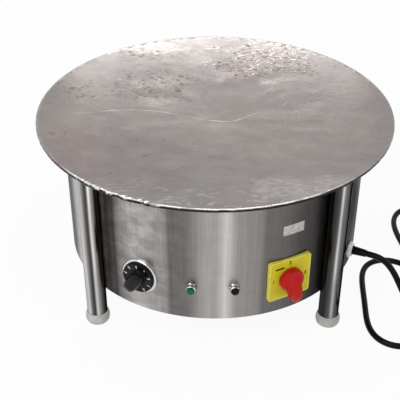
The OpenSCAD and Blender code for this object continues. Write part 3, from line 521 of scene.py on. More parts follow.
def makePlateFigures(size):
    face = onDrum(size["angle"], size["height"], size["front"] - size["rise"] + size["markLift"])
    parts = []
    for words, angle in size["marks"].items():
        a = math.radians(angle)
        figure = makeFigure(words, size["markSize"])
        putAt(figure, face @ shiftBy(size["markRadius"] * math.cos(a), size["markRadius"] * math.sin(a), 0))
        parts.append(figure)
    across, up, long, wide = size["bar"]
    bar = makeStroke(long, wide)
    putAt(bar, face @ shiftBy(across, up, 0) @ turnBy(90, "Z"))
    return joinAs("switchFigures", parts + [bar])


fit(makeSwitchPlate(switchPlate), "griddle", "plate_yellow", "switch_plate")
fit(makePlateFigures(switchPlate), "griddle", "knob_black")

# the selector's handle: a round hub that runs smoothly into a drooping grip
handle = {
    "back": 0.0042, "hubRadius": 0.0172, "hubHeight": 0.0105, "hubRound": 0.0042,
    "bore": 0.00405, "boreDepth": 0.0102,
    "gripLow": 0.0025, "gripTop": 0.026, "gripWidth": 0.0180, "tipWidth": 0.0122,
    "reach": 0.0295, "behind": 0.0125,
    "tipEnd": 0.8, "topWidth": 0.72, "topLength": 0.95, "tipBack": 0.001, "droop": 0.0024, "saddle": 0.0045,
    "voxel": 0.00055, "smoothing": 30, "flatBelow": 0.0006,
}


def makeHandle(size):
    hub = addCylinder(size["hubRadius"], 0, size["hubHeight"])
    pickParts(hub, "EDGE", lambda a, b: min(a.z, b.z) > size["hubHeight"] * 0.9)
    bpy.ops.mesh.bevel(offset=size["hubRound"], segments=6)
    leaveEdit()

    wide, reach, top = size["gripWidth"] / 2, size["reach"], size["gripTop"]
    grip = addBlock((-wide, -reach, size["gripLow"]), (wide, size["behind"], top))
    editAll()
    bpy.ops.mesh.subdivide(number_cuts=2)
    # narrower towards the tip and the top, and drooping at the tip
    pickParts(grip, "VERT", lambda at: at.y < -reach * 0.6)
    scaleBy(size["tipWidth"] / size["gripWidth"], 1, 1)
    pickParts(grip, "VERT", lambda at: at.y < -reach * 0.95)
    scaleBy(size["tipEnd"], 1, size["tipEnd"])
    pickParts(grip, "VERT", lambda at: at.z > top - 0.0001)
    scaleBy(size["topWidth"], size["topLength"], 1)
    pickParts(grip, "VERT", lambda at: at.z > top * 0.6 and at.y < -reach * 0.6)
    moveBy(0, size["tipBack"], -size["droop"])
    # its back end sinks into the hub
    pickParts(grip, "VERT", lambda at: at.z > top * 0.6 and at.y > 0)
    moveBy(0, 0, size["hubHeight"] - top - 0.001)
    pickParts(grip, "VERT", lambda at: at.z > top * 0.9 and abs(at.y) < reach * 0.3)
    moveBy(0, 0, -size["saddle"])
    leaveEdit()
    applyModifier(grip, "SUBSURF", levels=3, render_levels=3)
    piece = joinAs("switchHandle", [hub, grip])
    applyModifier(piece, "REMESH", mode="VOXEL", voxel_size=size["voxel"], use_smooth_shade=True)
    applyModifier(piece, "SMOOTH", factor=0.5, iterations=size["smoothing"])
    # the smoothing leaves the back flat again at its own height
    pickParts(piece, "VERT", lambda at: at.z < size["flatBelow"])
    bpy.ops.transform.resize(value=(1, 1, 0), center_override=(0, 0, 0))
    leaveEdit()
    cutAway(piece, addCylinder(size["bore"], -0.004, size["boreDepth"], 48))
    pickOnly(piece)
    smoothBelow(45)
    putAt(piece, onDrum(switchPlate["angle"], switchPlate["height"], size["back"]))
    return piece


fit(makeHandle(handle), "handle", "handle_red", "switch_handle")
print("selector switch shaped")

# the lamps' bright rings: a stepped collar, rounded at the front, with a bore for the lens
lampRing = {
    "angles": {"left": -7.5, "right": 7.5}, "height": 0.109, "radius": 0.00775, "foot": 0.0034,
    "front": [(0.0041, 0.00735), (0.0044, 0.00705), (0.0050, 0.00705), (0.0076, 0.00710), (0.0089, 0.00685),
              (0.0096, 0.00640), (0.0098, 0.00612)],
    "lens": 0.00585, "seat": 0.0021, "barrel": 0.0051, "gap": 0.0001,
    "slots": {"left": "bright_trim", "right": "bright_trim"},
}


def makeLampRing(size):
    piece = addCylinder(size["radius"], -0.002, size["foot"], 72)
    pickTop(piece)
    height, radius = drawUp(size["foot"], size["radius"], size["front"])
    sinkHole(height, radius, size["lens"], size["seat"])
    cutAway(piece, addCylinder(size["barrel"], -0.01, 0.01, 48))
    hollowBehind(piece, size["gap"])
    pickOnly(piece)
    smoothBelow(40)
    return piece


# the lamps' lenses: a plain stem and a domed front
lampLens = {
    "radius": 0.0057, "back": 0.0022, "stem": 0.0098,
    "front": [(0.0110, 0.0055), (0.0120, 0.0049), (0.0128, 0.0039), (0.0133, 0.0026), (0.0135, 0.0012)],
    "slots": {"left": "lens_green", "right": "lens_dark"},
}


def makeLens(size):
    piece = addCylinder(size["radius"], size["back"], size["stem"], 64)
    pickTop(piece)
    drawUp(size["stem"], size["radius"], size["front"])
    leaveEdit()
    smoothBelow(50)
    return piece


# copies of one piece on the drum, at the lamps' places
def setLamps(piece, name, slots, node):
    for side, angle in lampRing["angles"].items():
        lamp = copyPiece(piece, name + side.capitalize())
        putAt(lamp, onDrum(angle, lampRing["height"]))
        fit(lamp, "griddle", slots[side], "lamp_" + side + node)
    bpy.data.objects.remove(piece)


setLamps(makeLampRing(lampRing), "lampRing", lampRing["slots"], "_ring")
setLamps(makeLens(lampLens), "lampLens", lampLens["slots"], "_lens")
print("lamps shaped")

# the feet: soft caps, round at the bottom and closing in on the leg at the top
footCap = {
    "bottom": 0.0112, "sole": (0.0002, 0.0117),
    "sides": [(0.0009, 0.0137), (0.0024, 0.0155), (0.0048, 0.0168), (0.0080, 0.0174), (0.0112, 0.0173),
              (0.0142, 0.0168), (0.0168, 0.0160), (0.0184, 0.0152), (0.0189, 0.0149)],
    "bore": 0.0146, "floor": 0.004,
}


def makeFoot(size):
    height, radius = size["sole"]
    piece = addCylinder(size["bottom"], 0, height)
    pickTop(piece)
    scaleBy(radius / size["bottom"], radius / size["bottom"], 1)
    height, radius = drawUp(height, radius, size["sides"])
    sinkHole(height, radius, size["bore"], size["floor"])
    smoothBelow(45)
    return piece


firstFoot = makeFoot(footCap)
for spot, angle in drum["legs"].items():
    foot = copyPiece(firstFoot, "footCap_" + spot)
    putAt(foot, Matrix.Translation(aroundDrum(angle, drum["legRing"], 0)))
    fit(foot, "griddle", "foot_plastic", "foot_" + spot)
bpy.data.objects.remove(firstFoot)
print("feet shaped")

# the bare metal label above the selector, wrapped on the drum
label = {
    "angle": 28.9, "height": 0.1874, "width": 0.0328, "tall": 0.0155, "thick": 0.0004,
    "lift": 0.00008, "soft": 0.00015,
}


def makeLabel(size):
    pickNone()
    bpy.ops.mesh.primitive_grid_add(x_subdivisions=32, y_subdivisions=10, size=1)
    piece = newPiece("drumLabel")
    piece.scale = (size["width"], size["tall"], 1)
    bpy.ops.object.transform_apply(scale=True)
    putAt(piece, onDrum(size["angle"], size["height"], 0.004))
    applyModifier(piece, "SHRINKWRAP", target=nodes["drum_shell"], wrap_method="NEAREST_SURFACEPOINT",
                  wrap_mode="ABOVE_SURFACE", offset=size["lift"])
    applyModifier(piece, "SOLIDIFY", thickness=size["thick"], offset=1)
    softenEdges(piece, size["soft"], 2)
    return piece


fit(makeLabel(label), "griddle", "bright_trim")
print("label wrapped")


# a copy of a solid with its sharp edges softened
def softCopy(node, name, width):
    piece = copyPiece(nodes[node], name)
    for key in list(piece.keys()):
        del piece[key]
    piece.parent = None
    pickOnly(piece)
    editAll()
    bpy.ops.mesh.remove_doubles(threshold=0.00001)
    bpy.ops.mesh.dissolve_limited(angle_limit=math.radians(1))
    leaveEdit()
    softenEdges(piece, width)
    return piece


softened = {
    "thermostat_bezel": ("knobBezel", 0.0006, "bright_trim"),
    "plug_body": ("plugBody", 0.0022, "plug_black"),
    "plug_pins": ("plugPins", 0.0012, "pin_brass"),
    "gland_body": ("glandBody", 0.0006, "gland_grey"),
    "coil_tie": ("coilTie", 0.0004, "cord_black"),
}
for node, (name, width, slot) in softened.items():
    fit(softCopy(node, name, width), "griddle", slot, node)
print("edges softened:", len(softened))


# shaders
def addNode(tree, kind, sockets=None, **settings):
    made = tree.nodes.new("ShaderNode" + kind)
    for key, value in settings.items():
        setattr(made, key, value)
    for key, value in (sockets or {}).items():
        made.inputs[key].default_value = value
    return made


def asColour(value):
    return (value, value, value, 1) if isinstance(value, (int, float)) else (*value, 1)


# sets a socket to a number or a colour, or links another node's output to it
def feed(tree, socket, value):
    if hasattr(value, "is_output"):
        tree.links.new(value, socket)
    else:
        socket.default_value = asColour(value) if socket.type == "RGBA" else value


def calc(tree, operation, *values):
    made = addNode(tree, "Math", operation=operation)
    for socket, value in zip(made.inputs, values):
        feed(tree, socket, value)
    return made.outputs[0]


def times(tree, a, b):
    return calc(tree, "MULTIPLY", a, b)


def startFinish(name, rough, metal=0.0, shine=0.5, edge=1.0):
    material = bpy.data.materials.new(name)
    material.use_nodes = True
    tree = material.node_tree
    shader = tree.nodes["Principled BSDF"]
    shader.inputs["Roughness"].default_value = rough
    shader.inputs["Metallic"].default_value = metal
    shader.inputs["Specular IOR Level"].default_value = shine
    shader.inputs["Specular Tint"].default_value = asColour(edge)
    addNode(tree, "TexCoord", name="place")
    return material, tree, shader


# where a point is on the object
def objectPlace(tree):
    return tree.nodes["place"].outputs["Object"]


def splitXyz(tree, vector):
    made = addNode(tree, "SeparateXYZ")
    tree.links.new(vector, made.inputs["Vector"])
    return made.outputs[:]


# noise over the object, finer as its scale grows
def grain(tree, scale, detail=4, stretch=None, twist=0.0):
    made = addNode(tree, "TexNoise", {"Scale": scale, "Detail": detail, "Distortion": twist})
    place = objectPlace(tree)
    if stretch:
        mapping = addNode(tree, "Mapping", {"Scale": stretch})
        tree.links.new(place, mapping.inputs["Vector"])
        place = mapping.outputs["Vector"]
    tree.links.new(place, made.inputs["Vector"])
    return made.outputs["Fac"]


def ramp(tree, source, *stops):
    made = addNode(tree, "ValToRGB")
    points = made.color_ramp.elements
    points.remove(points[1])
    points[0].position, points[0].color = stops[0][0], asColour(stops[0][1])
    for place, colour in stops[1:]:
        points.new(place).color = asColour(colour)
    tree.links.new(source, made.inputs["Fac"])
    return made.outputs["Color"]


# lays one colour over another by a mask, or multiplies them
def blend(tree, under, over, mask, way="MIX"):
    made = addNode(tree, "Mix", data_type="RGBA", blend_type=way)
    for k, value in ((0, mask), (6, under), (7, over)):  # its sockets for colours
        feed(tree, made.inputs[k], value)
    return made.outputs[2]


def shade(tree, colour, by):
    return blend(tree, colour, by, 1.0, "MULTIPLY")


# a value that runs from low to high as its source runs from start to end
def spread(tree, source, low, high, start=0.0, end=1.0):
    made = addNode(tree, "MapRange", {"From Min": start, "From Max": end, "To Min": low, "To Max": high})
    tree.links.new(source, made.inputs["Value"])
    return made.outputs["Result"]


# a finish's colour, and a roughness that varies with a grain
def paint(tree, shader, colour, uneven, rough):
    tree.links.new(colour, shader.inputs["Base Color"])
    tree.links.new(spread(tree, uneven, *rough), shader.inputs["Roughness"])


def addBump(tree, shader, source, height, strength):
    made = addNode(tree, "Bump", {"Strength": strength, "Distance": height})
    tree.links.new(source, made.inputs["Height"])
    if shader.inputs["Normal"].links:
        tree.links.new(shader.inputs["Normal"].links[0].from_socket, made.inputs["Normal"])
    tree.links.new(made.outputs["Normal"], shader.inputs["Normal"])


# moulded plastic, plated steel, ceramic or rubber: two close colours, uneven gloss and a fine bump
def mottled(name, dark, light, scale, rough, metal=0.0, bumpScale=900, bumpHeight=0.00004, shine=0.5):
    material, tree, shader = startFinish(name, rough[0], metal, shine)
    colour = ramp(tree, grain(tree, scale, 5, twist=0.4), (0.32, dark), (0.68, light))
    paint(tree, shader, colour, grain(tree, scale * 3, 3), rough)
    addBump(tree, shader, grain(tree, bumpScale, 2), bumpHeight, 0.6)
    return material


# the cooking plate: grey rolled steel, stained, pitted and scratched, its edge and underside dark with scale
plateSteel = {
    "steel": (0.257, 0.232, 0.221),
    "cool": (0.232, 0.214, 0.212),
    "warm": (0.286, 0.248, 0.231),
    "grease": (0.87, 0.83, 0.86),
    "pit": (0.088, 0.060, 0.050),
    "stain": (0.275, 0.222, 0.206),
    # also the pale flecks of the painted sheen at the back
    "fleck": (0.46, 0.43, 0.41),
    # also the colour of the painted highlight on the front lip, and of the pale chips, partly painted sheen
    # at the back
    "scratch": (0.86, 0.84, 0.82),
    # near black, painted on the edge and the underside as painted shade
    "scale": (0.022, 0.020, 0.019),
    "rough": (0.105, 0.155),
    # the long scratch, across the plate and towards its back, and a short one
    "scratchWay": [
        (-0.2005, -0.0087), (-0.1812, -0.0009), (-0.1599, 0.0057), (-0.1364, 0.0126), (-0.1111, 0.0162),
        (-0.0885, 0.0151), (-0.0661, 0.0102), (-0.0429, 0.003), (-0.0212, -0.0051), (-0.0066, -0.0088),
        (0.006, -0.0106), (0.0163, -0.0114), (0.0264, -0.0105), (0.0351, -0.0061), (0.0435, 0.0007),
        (0.0527, 0.008), (0.0626, 0.0143),
    ],
    "scratchRuns": [(0, 17, 0.16), (2, 7, 0.34), (9, 17, 0.48)],  # from and to these points, and how bright
    "scratchWidth": 0.0011,
    "nickWay": [(0.1009, 0.0331), (0.1041, 0.0400), (0.1073, 0.0473)],
    "nickWidth": 0.0018,
    "nickBright": 0.22,
    # across, towards the back, half the width, half the depth and how strong
    "pitPatches": [(0.070, 0.178, 0.105, 0.070, 1.0), (-0.080, 0.092, 0.075, 0.058, 0.85),
                   (-0.204, 0.066, 0.050, 0.040, 0.7), (-0.105, 0.192, 0.065, 0.022, 0.7)],
    # the wear and chip patches at the back lie where the back rim gleams, partly painted sheen
    "wornAndSheenPatches": [(-0.105, 0.215, 0.075, 0.026, 0.75), (0.085, 0.205, 0.100, 0.045, 0.35),
                    (0.108, -0.202, 0.078, 0.036, 0.60)],
    "chipAndSheenPatches": [(0.075, 0.190, 0.110, 0.065, 1.0), (-0.105, 0.100, 0.050, 0.050, 0.4)],
    "greasePatches": [(-0.130, -0.130, 0.150, 0.100, 0.75)],
    "frontFlecks": (-0.185, -0.222),  # from here forward there are most
    "lip": (0.2508, 0.2522),  # between these radii
    "lipFront": (-0.155, -0.185),
    "lipRight": (0.09, 0.16),  # here it ends
}


# how far a point is from a wavy line, as a mask that is 1 on the line
def lineMask(tree, x, y, way, width):
    start, end = way[0][0], way[-1][0]
    low, high = min(q[1] for q in way), max(q[1] for q in way)
    spots = [((px - start) / (end - start), (py - low) / (high - low)) for px, py in way]
    wave = addNode(tree, "FloatCurve")
    line = wave.mapping.curves[0]
    line.points[0].location, line.points[1].location = spots[0], spots[-1]
    for spot in spots[1:-1]:
        line.points.new(*spot)
    wave.mapping.update()
    tree.links.new(spread(tree, x, 0.0, 1.0, start, end), wave.inputs["Value"])
    away = calc(tree, "ABSOLUTE", calc(tree, "SUBTRACT", y, spread(tree, wave.outputs["Value"], low, high)))
    near = spread(tree, away, 1.0, 0.0, width * 0.45, width)
    inside = times(tree, calc(tree, "GREATER_THAN", x, start), calc(tree, "LESS_THAN", x, end))
    return times(tree, near, inside)


# how far two distances at right angles reach together
def reachOf(tree, a, b):
    return calc(tree, "SQRT", calc(tree, "ADD", times(tree, a, a), times(tree, b, b)))


# uneven round patches, as a mask that is strongest in the middle of each
def patchMask(tree, x, y, patches, wander):
    mask = 0.0
    for px, py, wide, deep, amount in patches:
        across = calc(tree, "DIVIDE", calc(tree, "SUBTRACT", x, px), wide)
        back = calc(tree, "DIVIDE", calc(tree, "SUBTRACT", y, py), deep)
        away = calc(tree, "ADD", reachOf(tree, across, back), wander)
        mask = calc(tree, "MAXIMUM", mask, spread(tree, away, 0.0, amount, 1.0, 0.6))
    return mask


def finishPlate(look):
    material, tree, shader = startFinish("plateSteel", look["rough"][0], 1.0)
    x, y, z = splitXyz(tree, objectPlace(tree))
    colour = ramp(tree, grain(tree, 9, 6, twist=0.8),
                  (0.30, look["cool"]), (0.5, look["steel"]), (0.70, look["warm"]))
    cloudy = grain(tree, 34, 5, stretch=(1, 1.5, 1))
    colour = shade(tree, colour, ramp(tree, cloudy, (0.3, 0.93), (0.7, 1.06)))
    speckle = grain(tree, 520, 2)
    colour = shade(tree, colour, ramp(tree, speckle, (0.3, 0.90), (0.7, 1.08)))

    # a thin film of old grease at the front left
    film = patchMask(tree, x, y, look["greasePatches"], spread(tree, grain(tree, 14, 3), -0.6, 0.6))
    colour = blend(tree, colour, look["grease"], film, "MULTIPLY")

    # paler with wear where it is scraped most; the two patches at the back are partly painted sheen, pale
    # flecks where the back rim gleams
    wander = spread(tree, grain(tree, 26, 4), -0.9, 0.9)
    wornAndSheen = patchMask(tree, x, y, look["wornAndSheenPatches"], wander)
    scrapedAndSheenFlecks = ramp(tree, grain(tree, 150, 4, stretch=(0.7, 1.2, 1), twist=0.3), (0.42, 0.35), (0.60, 0.95))
    colour = blend(tree, colour, look["fleck"], times(tree, wornAndSheen, scrapedAndSheenFlecks))

    # rust-brown pits with a warm stain round them and pale chips, in patches towards the back; the pale
    # chips at the back right are partly painted sheen
    pitPatch = patchMask(tree, x, y, look["pitPatches"], wander)
    stain = ramp(tree, grain(tree, 70, 3, twist=0.6), (0.48, 0.0), (0.62, 0.55))
    colour = blend(tree, colour, look["stain"], times(tree, stain, pitPatch))
    pitSpots = ramp(tree, grain(tree, 200, 2, stretch=(0.7, 1.0, 1), twist=0.5), (0.575, 0.0), (0.63, 0.9))
    colour = blend(tree, colour, look["pit"], times(tree, pitSpots, pitPatch))
    chips = ramp(tree, grain(tree, 185, 2, stretch=(0.8, 1.0, 1), twist=2.0), (0.62, 0.0), (0.67, 0.6))
    chippedAndSheen = patchMask(tree, x, y, look["chipAndSheenPatches"], wander)
    colour = blend(tree, colour, look["scratch"], times(tree, chips, chippedAndSheen))
    # a few pits anywhere
    strays = ramp(tree, grain(tree, 150, 2, stretch=(0.8, 1.0, 1)), (0.70, 0.0), (0.74, 0.55))
    colour = blend(tree, colour, look["pit"], strays)

    # pale flecks where the plate was scraped, most of them along the front
    flecks = ramp(tree, grain(tree, 66, 3, stretch=(0.7, 1.3, 1), twist=1.2), (0.56, 0.0), (0.63, 1.0))
    frontward = spread(tree, y, 0.04, 0.46, *look["frontFlecks"])
    colour = blend(tree, colour, look["fleck"], times(tree, flecks, frontward))

    # one long wavy scratch, broken along its way, and a short one
    scratch = 0.0
    for first, last, bright in look["scratchRuns"]:
        run = lineMask(tree, x, y, look["scratchWay"][first:last], look["scratchWidth"])
        scratch = calc(tree, "MAXIMUM", scratch, times(tree, run, bright))
    broken = ramp(tree, grain(tree, 60, 3), (0.36, 0.35), (0.54, 1.0))
    nick = times(tree, lineMask(tree, x, y, look["nickWay"], look["nickWidth"]), look["nickBright"])
    scratch = calc(tree, "MAXIMUM", times(tree, scratch, broken), nick)
    colour = blend(tree, colour, look["scratch"], scratch)

    # a painted highlight along the lip at the front, and painted shade on the edge and the underside, which
    # are painted near black
    lip = spread(tree, reachOf(tree, x, y), 0.0, 1.0, *look["lip"])
    frontLip = spread(tree, y, 0.15, 1.0, *look["lipFront"])
    kept = spread(tree, x, 1.0, 0.2, *look["lipRight"])
    lipHighlightBreakup = ramp(tree, grain(tree, 42, 4), (0.36, 0.25), (0.52, 1.0))
    lipMask = times(tree, times(tree, lip, frontLip), times(tree, kept, lipHighlightBreakup))
    colour = blend(tree, colour, look["scratch"], lipMask)
    upward = splitXyz(tree, addNode(tree, "NewGeometry").outputs["Normal"])[2]
    colour = blend(tree, colour, look["scale"], spread(tree, upward, 1.0, 0.0, 0.15, 0.40))

    paint(tree, shader, colour, grain(tree, 26, 5), look["rough"])
    # fine pitting, deeper towards the right, over slow waves
    deeper = spread(tree, x, 0.25, 1.0, -0.10, 0.10)
    addBump(tree, shader, times(tree, grain(tree, 260, 3), deeper), 0.00016, 0.3)
    addBump(tree, shader, grain(tree, 60, 4), 0.00035, 0.12)
    return material


# a share from 0 to 1 of the way round an upright line, 0.5 at the front
def roundShare(tree, middle, wander):
    x, y, z = splitXyz(tree, objectPlace(tree))
    angle = calc(tree, "ARCTAN2", calc(tree, "SUBTRACT", x, middle.x), calc(tree, "SUBTRACT", middle.y, y))
    wobble = spread(tree, grain(tree, 9, 3, stretch=(1, 1, 0.5)), -wander, wander)
    share = calc(tree, "ADD", calc(tree, "DIVIDE", calc(tree, "ADD", angle, wobble), 2 * math.pi), 0.5)
    return share, x, y, z


# painted reflections and painted shade: light and dark bands in the base colour, by their angle from the
# front
def bandRamp(tree, share, bands):
    return ramp(tree, share, *((0.5 + angle / 360, light) for angle, light in bands))


# the drum: polished sheet, with painted reflections as light and dark vertical bands that run round it, and
# painted shade beside the legs
drumSteel = {
    "bands": [
        (-180, 0.24), (-80, 0.04), (-69, 0.15), (-65, 0.54), (-62, 0.88), (-56, 0.60), (-45, 0.95),
        (-42.2, 0.92), (-40, 0.36), (-38, 0.10), (-36, 0.25), (-34, 0.30), (-29, 0.48),
        (-17.2, 0.31), (-15.4, 0.155), (-9, 0.185), (-2, 0.415), (0, 0.365), (2, 0.415), (4.2, 0.64),
        (6, 0.505), (8, 0.32), (16.6, 0.26), (18.2, 0.168), (26, 0.14), (34, 0.076), (38, 0.09), (42, 0.28),
        (52, 0.055), (83, 0.08), (98, 0.31), (150, 0.24),
    ],
    "wander": 0.012,
    "tint": (1.0, 0.950, 0.925),
    "edge": 0.5,  # how much it gleams where it turns away
    "rough": (0.30, 0.40),
}


def finishDrum(look):
    material, tree, shader = startFinish("drumSteel", look["rough"][0], 1.0, edge=look["edge"])
    share, x, y, z = roundShare(tree, Vector((0, 0, 0)), look["wander"])
    colour = shade(tree, bandRamp(tree, share, look["bands"]), look["tint"])
    brushed = grain(tree, 60, 4, stretch=(6, 6, 0.15))
    colour = shade(tree, colour, ramp(tree, brushed, (0.3, 0.9), (0.7, 1.08)))
    # painted reflections: lighter and darker blotches, strongest on the left of the front
    reflectionBlotches = ramp(tree, grain(tree, 42, 3, stretch=(1, 1, 1.6), twist=0.6), (0.35, 0.74), (0.65, 1.16))
    leftSide = spread(tree, x, 0.15, 1.0, -0.02, -0.10)
    frontSide = spread(tree, y, 0.2, 1.0, -0.08, -0.15)
    colour = blend(tree, colour, reflectionBlotches, times(tree, leftSide, frontSide), "MULTIPLY")
    paint(tree, shader, colour, grain(tree, 30, 4), look["rough"])
    addBump(tree, shader, grain(tree, 90, 4, stretch=(8, 8, 0.1)), 0.00003, 0.5)
    return material


# the leg tubes: polished steel, with painted reflections and painted shade as light and dark bands by the
# angle round each tube
legSteel = {
    "leftBands": [
        (-180, 0.40), (-150, 0.14), (-118, 0.40), (-95, 0.85), (-72, 0.92), (-58, 0.86), (-50, 0.74),
        (-44, 0.68), (-34, 0.60), (-28, 0.42), (-20, 0.24), (-12, 0.12), (-3, 0.05), (2, 0.12), (7, 0.42),
        (13, 0.80), (19, 0.66), (25, 0.38), (32, 0.24), (40, 0.10), (50, 0.055), (64, 0.03), (84, 0.025),
        (105, 0.20), (135, 0.45), (160, 0.40),
    ],
    "rightBands": [
        (-180, 0.40), (-140, 0.45), (-115, 0.30), (-90, 0.08), (-60, 0.05), (-42, 0.034), (-29, 0.042),
        (-20, 0.055), (-12, 0.085), (-6, 0.12), (-1, 0.24), (4, 0.35), (9, 0.36), (15, 0.25), (21, 0.165),
        (28, 0.13), (36, 0.12), (43, 0.09), (52, 0.03), (66, 0.01), (92, 0.02), (120, 0.30), (150, 0.40),
    ],
    # a painted highlight on each tube: from, at and to these angles, and how bright
    "gleams": {"left": (6, 13, 21, 0.96), "right": (-3, 6, 15, 0.72)},
    "gleamRise": (0.08, 0.11),  # between these heights the gleam comes in
    "wander": 0.10,
    "tint": (1.0, 0.975, 0.955),
    "edge": 0.35,
    "rough": (0.14, 0.26),
}


def finishLeg(look, spot, angle):
    material, tree, shader = startFinish("legSteel_" + spot, look["rough"][0], 1.0, edge=look["edge"])
    share, x, y, z = roundShare(tree, aroundDrum(angle, drum["legRing"], 0), look["wander"])
    side = "left" if spot.endswith("left") else "right"
    colour = bandRamp(tree, share, look[side + "Bands"])
    first, peak, last, bright = look["gleams"][side]
    gleam = bandRamp(tree, share, [(first, 0.0), (peak, 1.0), (last, 0.0)])
    upward = spread(tree, z, 0.0, 1.0, *look["gleamRise"])
    colour = blend(tree, colour, bright, times(tree, gleam, upward))
    colour = shade(tree, colour, look["tint"])
    streaks = grain(tree, 80, 4, stretch=(2.2, 2.2, 0.08))
    colour = shade(tree, colour, ramp(tree, streaks, (0.34, 0.72), (0.62, 1.12)))
    paint(tree, shader, colour, grain(tree, 45, 4), look["rough"])
    addBump(tree, shader, grain(tree, 120, 3, stretch=(4, 4, 0.1)), 0.00003, 0.4)
    return material


# a lamp's lens: dark tinted plastic with a clear glossy skin
def finishLens(name, dark, light):
    material, tree, shader = startFinish(name, 0.08, shine=0.09)
    colour = ramp(tree, grain(tree, 260, 2), (0.35, dark), (0.65, light))
    paint(tree, shader, colour, grain(tree, 600, 2), (0.05, 0.14))
    return material


# the selector's plate: yellow plastic, paler along its raised edge
yellowPlastic = {
    "dark": (0.60, 0.51, 0.010), "light": (0.70, 0.60, 0.018), "paleEdge": (0.80, 0.74, 0.17),
    "paleEdgeFrom": (-0.0006, 0.0004),  # across the raised edge's inner side
    "rough": (0.32, 0.45), "shine": 0.25,
}


def finishYellow(look, size):
    material, tree, shader = startFinish("plateYellow", 0.38, shine=look["shine"])
    colour = ramp(tree, grain(tree, 70, 5, twist=0.4), (0.32, look["dark"]), (0.68, look["light"]))
    x, y, z = splitXyz(tree, objectPlace(tree))
    a = math.radians(size["angle"])
    across = calc(tree, "ADD", times(tree, x, math.cos(a)), times(tree, y, math.sin(a)))
    up = calc(tree, "SUBTRACT", z, size["height"])
    away = calc(tree, "MAXIMUM", calc(tree, "ABSOLUTE", across), calc(tree, "ABSOLUTE", up))
    inner = size["width"] / 2 - size["edge"]
    edge = spread(tree, away, 0.0, 1.0, *(inner + step for step in look["paleEdgeFrom"]))
    paleEdge = ramp(tree, grain(tree, 160, 3), (0.35, 0.3), (0.6, 0.75))
    colour = blend(tree, colour, look["paleEdge"], times(tree, edge, paleEdge))
    paint(tree, shader, colour, grain(tree, 210, 3), look["rough"])
    addBump(tree, shader, grain(tree, 900, 2), 0.00004, 0.6)
    return material


# the record's slots
finishes = {
    "plate_steel": finishPlate(plateSteel),
    "drum_steel": finishDrum(drumSteel),
    "foot_plastic": mottled("footPlastic", (0.36, 0.35, 0.335), (0.54, 0.53, 0.505), 60, (0.45, 0.6),
                            bumpScale=500),
    "zinc_steel": mottled("zincSteel", (0.38, 0.38, 0.37), (0.56, 0.56, 0.55), 140, (0.3, 0.45), 1.0),
    "pan_steel": mottled("panSteel", 0.50, 0.66, 30, (0.2, 0.32), 1.0),
    "board": mottled("insulationBoard", (0.62, 0.58, 0.50), (0.78, 0.75, 0.68), 90, (0.85, 0.95),
                     bumpScale=300, bumpHeight=0.0003),
    "element_sheath": mottled("elementSheath", (0.06, 0.055, 0.05), (0.16, 0.14, 0.12), 80, (0.45, 0.65),
                              0.8),
    "bright_trim": mottled("brightTrim", (0.62, 0.61, 0.60), (0.80, 0.79, 0.78), 120, (0.10, 0.2), 1.0),
    "white_ceramic": mottled("whiteCeramic", (0.70, 0.67, 0.60), (0.80, 0.78, 0.72), 120, (0.25, 0.4)),
    "knob_black": mottled("knobBlack", 0.004, (0.009, 0.008, 0.009), 160, (0.16, 0.3), shine=0.15),
    "copper": mottled("copperTube", (0.50, 0.24, 0.13), (0.66, 0.36, 0.20), 120, (0.25, 0.4), 1.0),
    "plate_yellow": finishYellow(yellowPlastic, switchPlate),
    "handle_red": mottled("handleRed", (0.42, 0.007, 0.006), (0.51, 0.010, 0.008), 70, (0.34, 0.46),
                          shine=0.18),
    "switch_black": mottled("switchBlack", (0.016, 0.016, 0.017), (0.035, 0.034, 0.034), 120, (0.35, 0.5)),
    "lens_green": finishLens("lensGreen", (0.002, 0.070, 0.034), (0.004, 0.15, 0.075)),
    "lens_dark": finishLens("lensDark", 0.003, (0.008, 0.007, 0.007)),
    "wire_jacket": mottled("wireJacket", (0.30, 0.06, 0.05), (0.42, 0.10, 0.08), 120, (0.4, 0.55)),
    "gland_grey": mottled("glandGrey", (0.78, 0.78, 0.77), (0.88, 0.87, 0.86), 120, (0.35, 0.5)),
    "cord_black": mottled("cordBlack", 0.003, (0.007, 0.006, 0.006), 60, (0.16, 0.30), shine=0.09),
    "plug_black": mottled("plugBlack", 0.010, (0.024, 0.023, 0.023), 80, (0.3, 0.45)),
    "pin_brass": mottled("pinBrass", (0.56, 0.42, 0.16), (0.72, 0.56, 0.25), 120, (0.18, 0.3), 1.0),
}
# pieces with a finish of their own
ownFinishes = {"leg_" + spot: finishLeg(legSteel, spot, angle) for spot, angle in drum["legs"].items()}
labelSteel = mottled("labelSteel", (0.38, 0.372, 0.362), (0.56, 0.55, 0.54), 190, (0.3, 0.45), 0.9)
dialWhite = mottled("dialWhite", (0.66, 0.65, 0.63), (0.80, 0.79, 0.77), 300, (0.4, 0.55))
# the lamps' chrome: base colour mottled from near black to near white, painted reflections of dark and
# bright things
chromePaintedReflections = mottled("chromePaintedReflections", 0.07, (0.95, 0.94, 0.93), 380, (0.06, 0.14), 1.0)
ownFinishes.update(drumLabel=labelSteel, knobDial=dialWhite,
                   lampRingLeft=chromePaintedReflections, lampRingRight=chromePaintedReflections)
print("finishes mixed:", len(finishes) + len(ownFinishes))


def setFinish(piece, name, slot):
    piece.data.materials.clear()
    piece.data.materials.append(ownFinishes[name] if name in ownFinishes else finishes[slot])


for piece, slot in fitted:
    setFinish(piece, piece.name, slot)
for row in frame["record"]["subparts"]:
    setFinish(nodes[row["node"]], row["node"], row["material_slot"])

# the floor and the room: plain soft light, and white to the camera and in reflections
studio = {
    "floorSize": 12, "floorDrop": 0.0004, "floorGrey": 0.86,
    "floorGlow": 0.93,  # the rest of the floor's look keeps a faint shadow
    "roomLight": 0.80,
}
